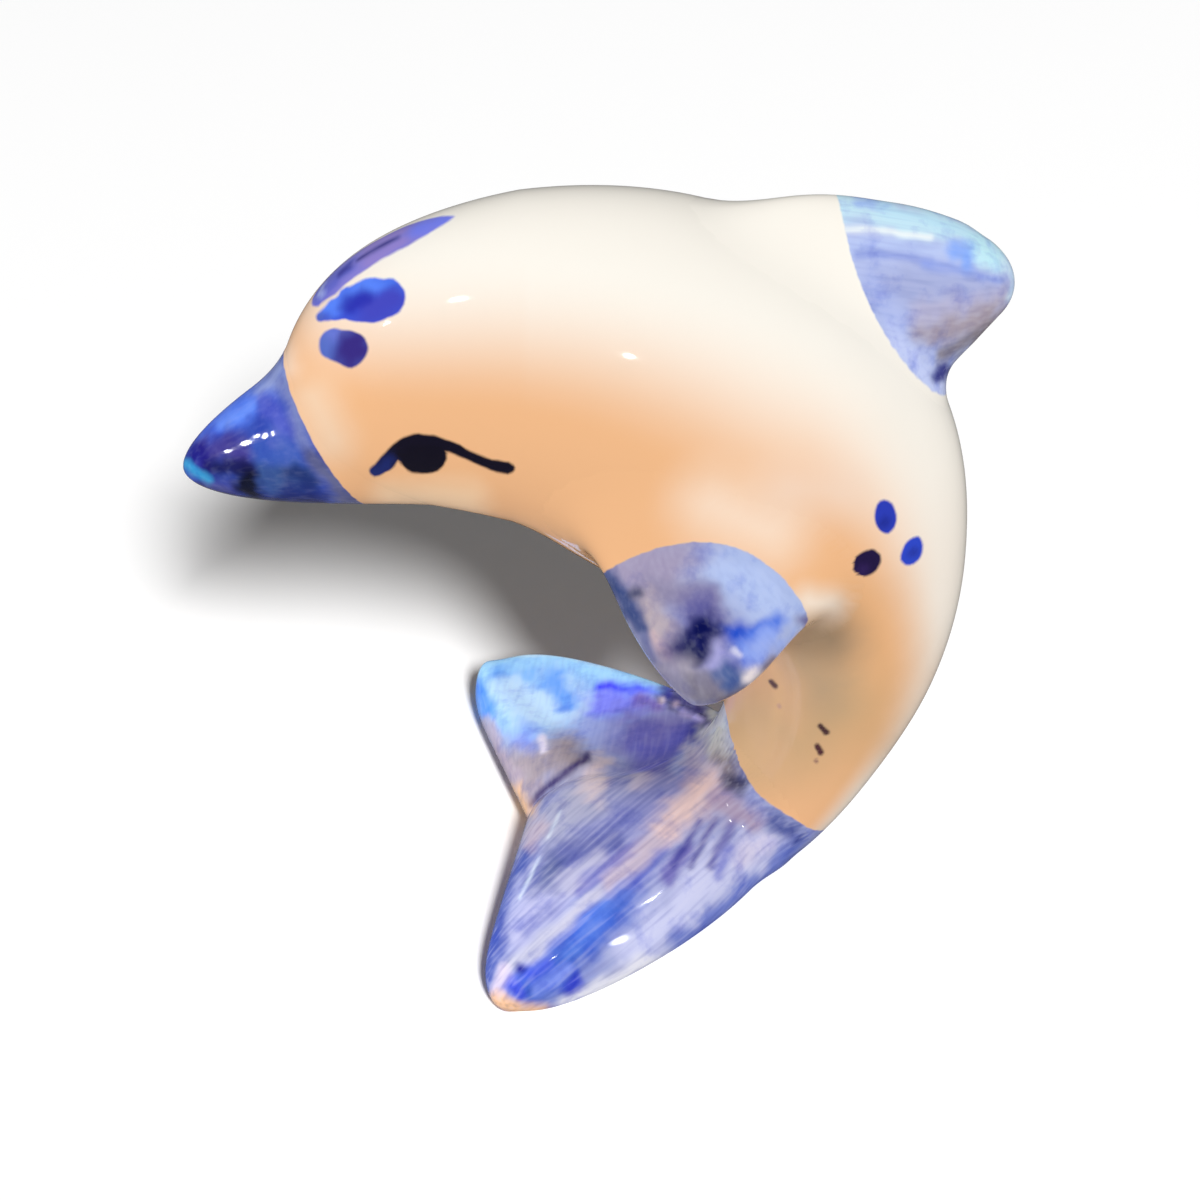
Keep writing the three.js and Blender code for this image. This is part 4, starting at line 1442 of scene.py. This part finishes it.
def lamp(name, azimuth, elevation, distance, width, height, power, roll=0):
    """An oval lamp at a direction from the object, facing it. Azimuth 0 is in front of its left flank."""
    data = bpy.data.lights.new(name, "AREA")
    data.shape = "ELLIPSE"
    data.size = width
    data.size_y = height
    data.energy = power
    a, e = math.radians(azimuth), math.radians(elevation)
    toward = Vector((math.sin(a) * math.cos(e), -math.cos(a) * math.cos(e), math.sin(e)))
    light = bpy.data.objects.new(name, data)
    light.location = toward * distance + Vector((0, 0, VIEW_TARGET[2] * MM))
    facing = toward.to_track_quat("Z", "Y") @ Quaternion((0, 0, 1), math.radians(roll))
    light.rotation_euler = facing.to_euler()
    bpy.context.collection.objects.link(light)
    return light


def lit_group(name, pieces):
    """A collection of the pieces that a lamp may light."""
    group = bpy.data.collections.new(name)
    for piece in pieces:
        group.objects.link(piece)
    return group


world = bpy.data.worlds.new("bright_room")
bpy.context.scene.world = world
world.use_nodes = True
room = world.node_tree.nodes["Background"].inputs
room["Color"].default_value = grey(ROOM_TONE)
room["Strength"].default_value = ROOM_STRENGTH
LIT = {
    "floor": lit_group("lit_floor", [floor]),
    "figurine": lit_group("lit_figurine", [piece for piece, *_ in FINISHES]),
    "flukes": lit_group("lit_flukes", [left_fluke, right_fluke]),
    "body": lit_group("lit_body", [body]),
    "beak": lit_group("lit_beak", [beak]),
}
print("groups that lamps can light:", list(LIT))

# %% [markdown]
# ## The soft boxes
# Five soft boxes light the figurine, and a sixth lights only the flukes. They are kept out of reflections.
# Two more light only the paper: one from the front throws the soft shadow under the chin, and one overhead
# makes it a little paler.

# %% Soft boxes
SOFT_BOXES = {
    # azimuth and elevation in degrees, distance, width and height in metres, power, and what it lights
    "front_box": (8, 50, 3.0, 0.6, 0.6, 37.0, "figurine"),
    "left_box": (-50, 8, 3.0, 0.7, 0.7, 36.0, "figurine"),
    "back_box": (-115, 34, 3.0, 2.0, 2.0, 35.0, "figurine"),
    "right_box": (80, 25, 3.0, 2.0, 2.0, 42.0, "figurine"),
    "rim_box": (180, 40, 3.0, 2.0, 2.0, 15.0, "figurine"),
    "tail_box": (-100, 60, 3.0, 1.0, 1.0, 42.0, "flukes"),
    "paper_box": (9, 34.2, 8.0, 1.0, 1.8, 1030.0, "floor"),
    "paper_sky": (0, 90, 1.5, 3.0, 3.0, 3.0, "floor"),
}
for name, (azimuth, elevation, distance, width, height, power, lights) in SOFT_BOXES.items():
    light = lamp(name, azimuth, elevation, distance, width, height, power)
    light.visible_glossy = False
    light.light_linking.receiver_collection = LIT[lights]
print("soft boxes:", len(SOFT_BOXES))

# %% [markdown]
# ## The small lamps
# Rows of small lamps leave dotted highlights in the glaze. Their directions were found from the dots in the
# photograph. They show in the glaze alone and leave the colours as they are.

# %% Small lamps
SPOTS = [
    # azimuth, elevation, width and height in metres, roll in degrees, and what it lights
    (-69, 8, 0.055, 0.013, -40, "beak"),
    (-66, 13, 0.065, 0.024, -40, "beak"),
    (-66, 18, 0.055, 0.013, -40, "beak"),
    (-71, 41, 0.016, 0.016, 0, "body"),
    (-55, 57, 0.024, 0.016, 0, "body"),
    (2, 32, 0.016, 0.016, 0, "body"),
    (60, 26, 0.008, 0.03, 0, "flukes"),
    (70, 40, 0.008, 0.03, 0, "flukes"),
    (88, 30, 0.008, 0.03, 0, "flukes"),
    (54, 59, 0.008, 0.03, 0, "flukes"),
]
SPOT_DISTANCE = 0.5
SPOT_GLOW = 220.0
for number, (azimuth, elevation, width, height, roll, lights) in enumerate(SPOTS):
    power = SPOT_GLOW * width * height
    light = lamp(f"spot_{number}", azimuth, elevation, SPOT_DISTANCE, width, height, power, roll)
    light.visible_diffuse = False
    light.light_linking.receiver_collection = LIT[lights]
bpy.context.scene.view_settings.view_transform = "Standard"
print("small lamps:", len(SPOTS))
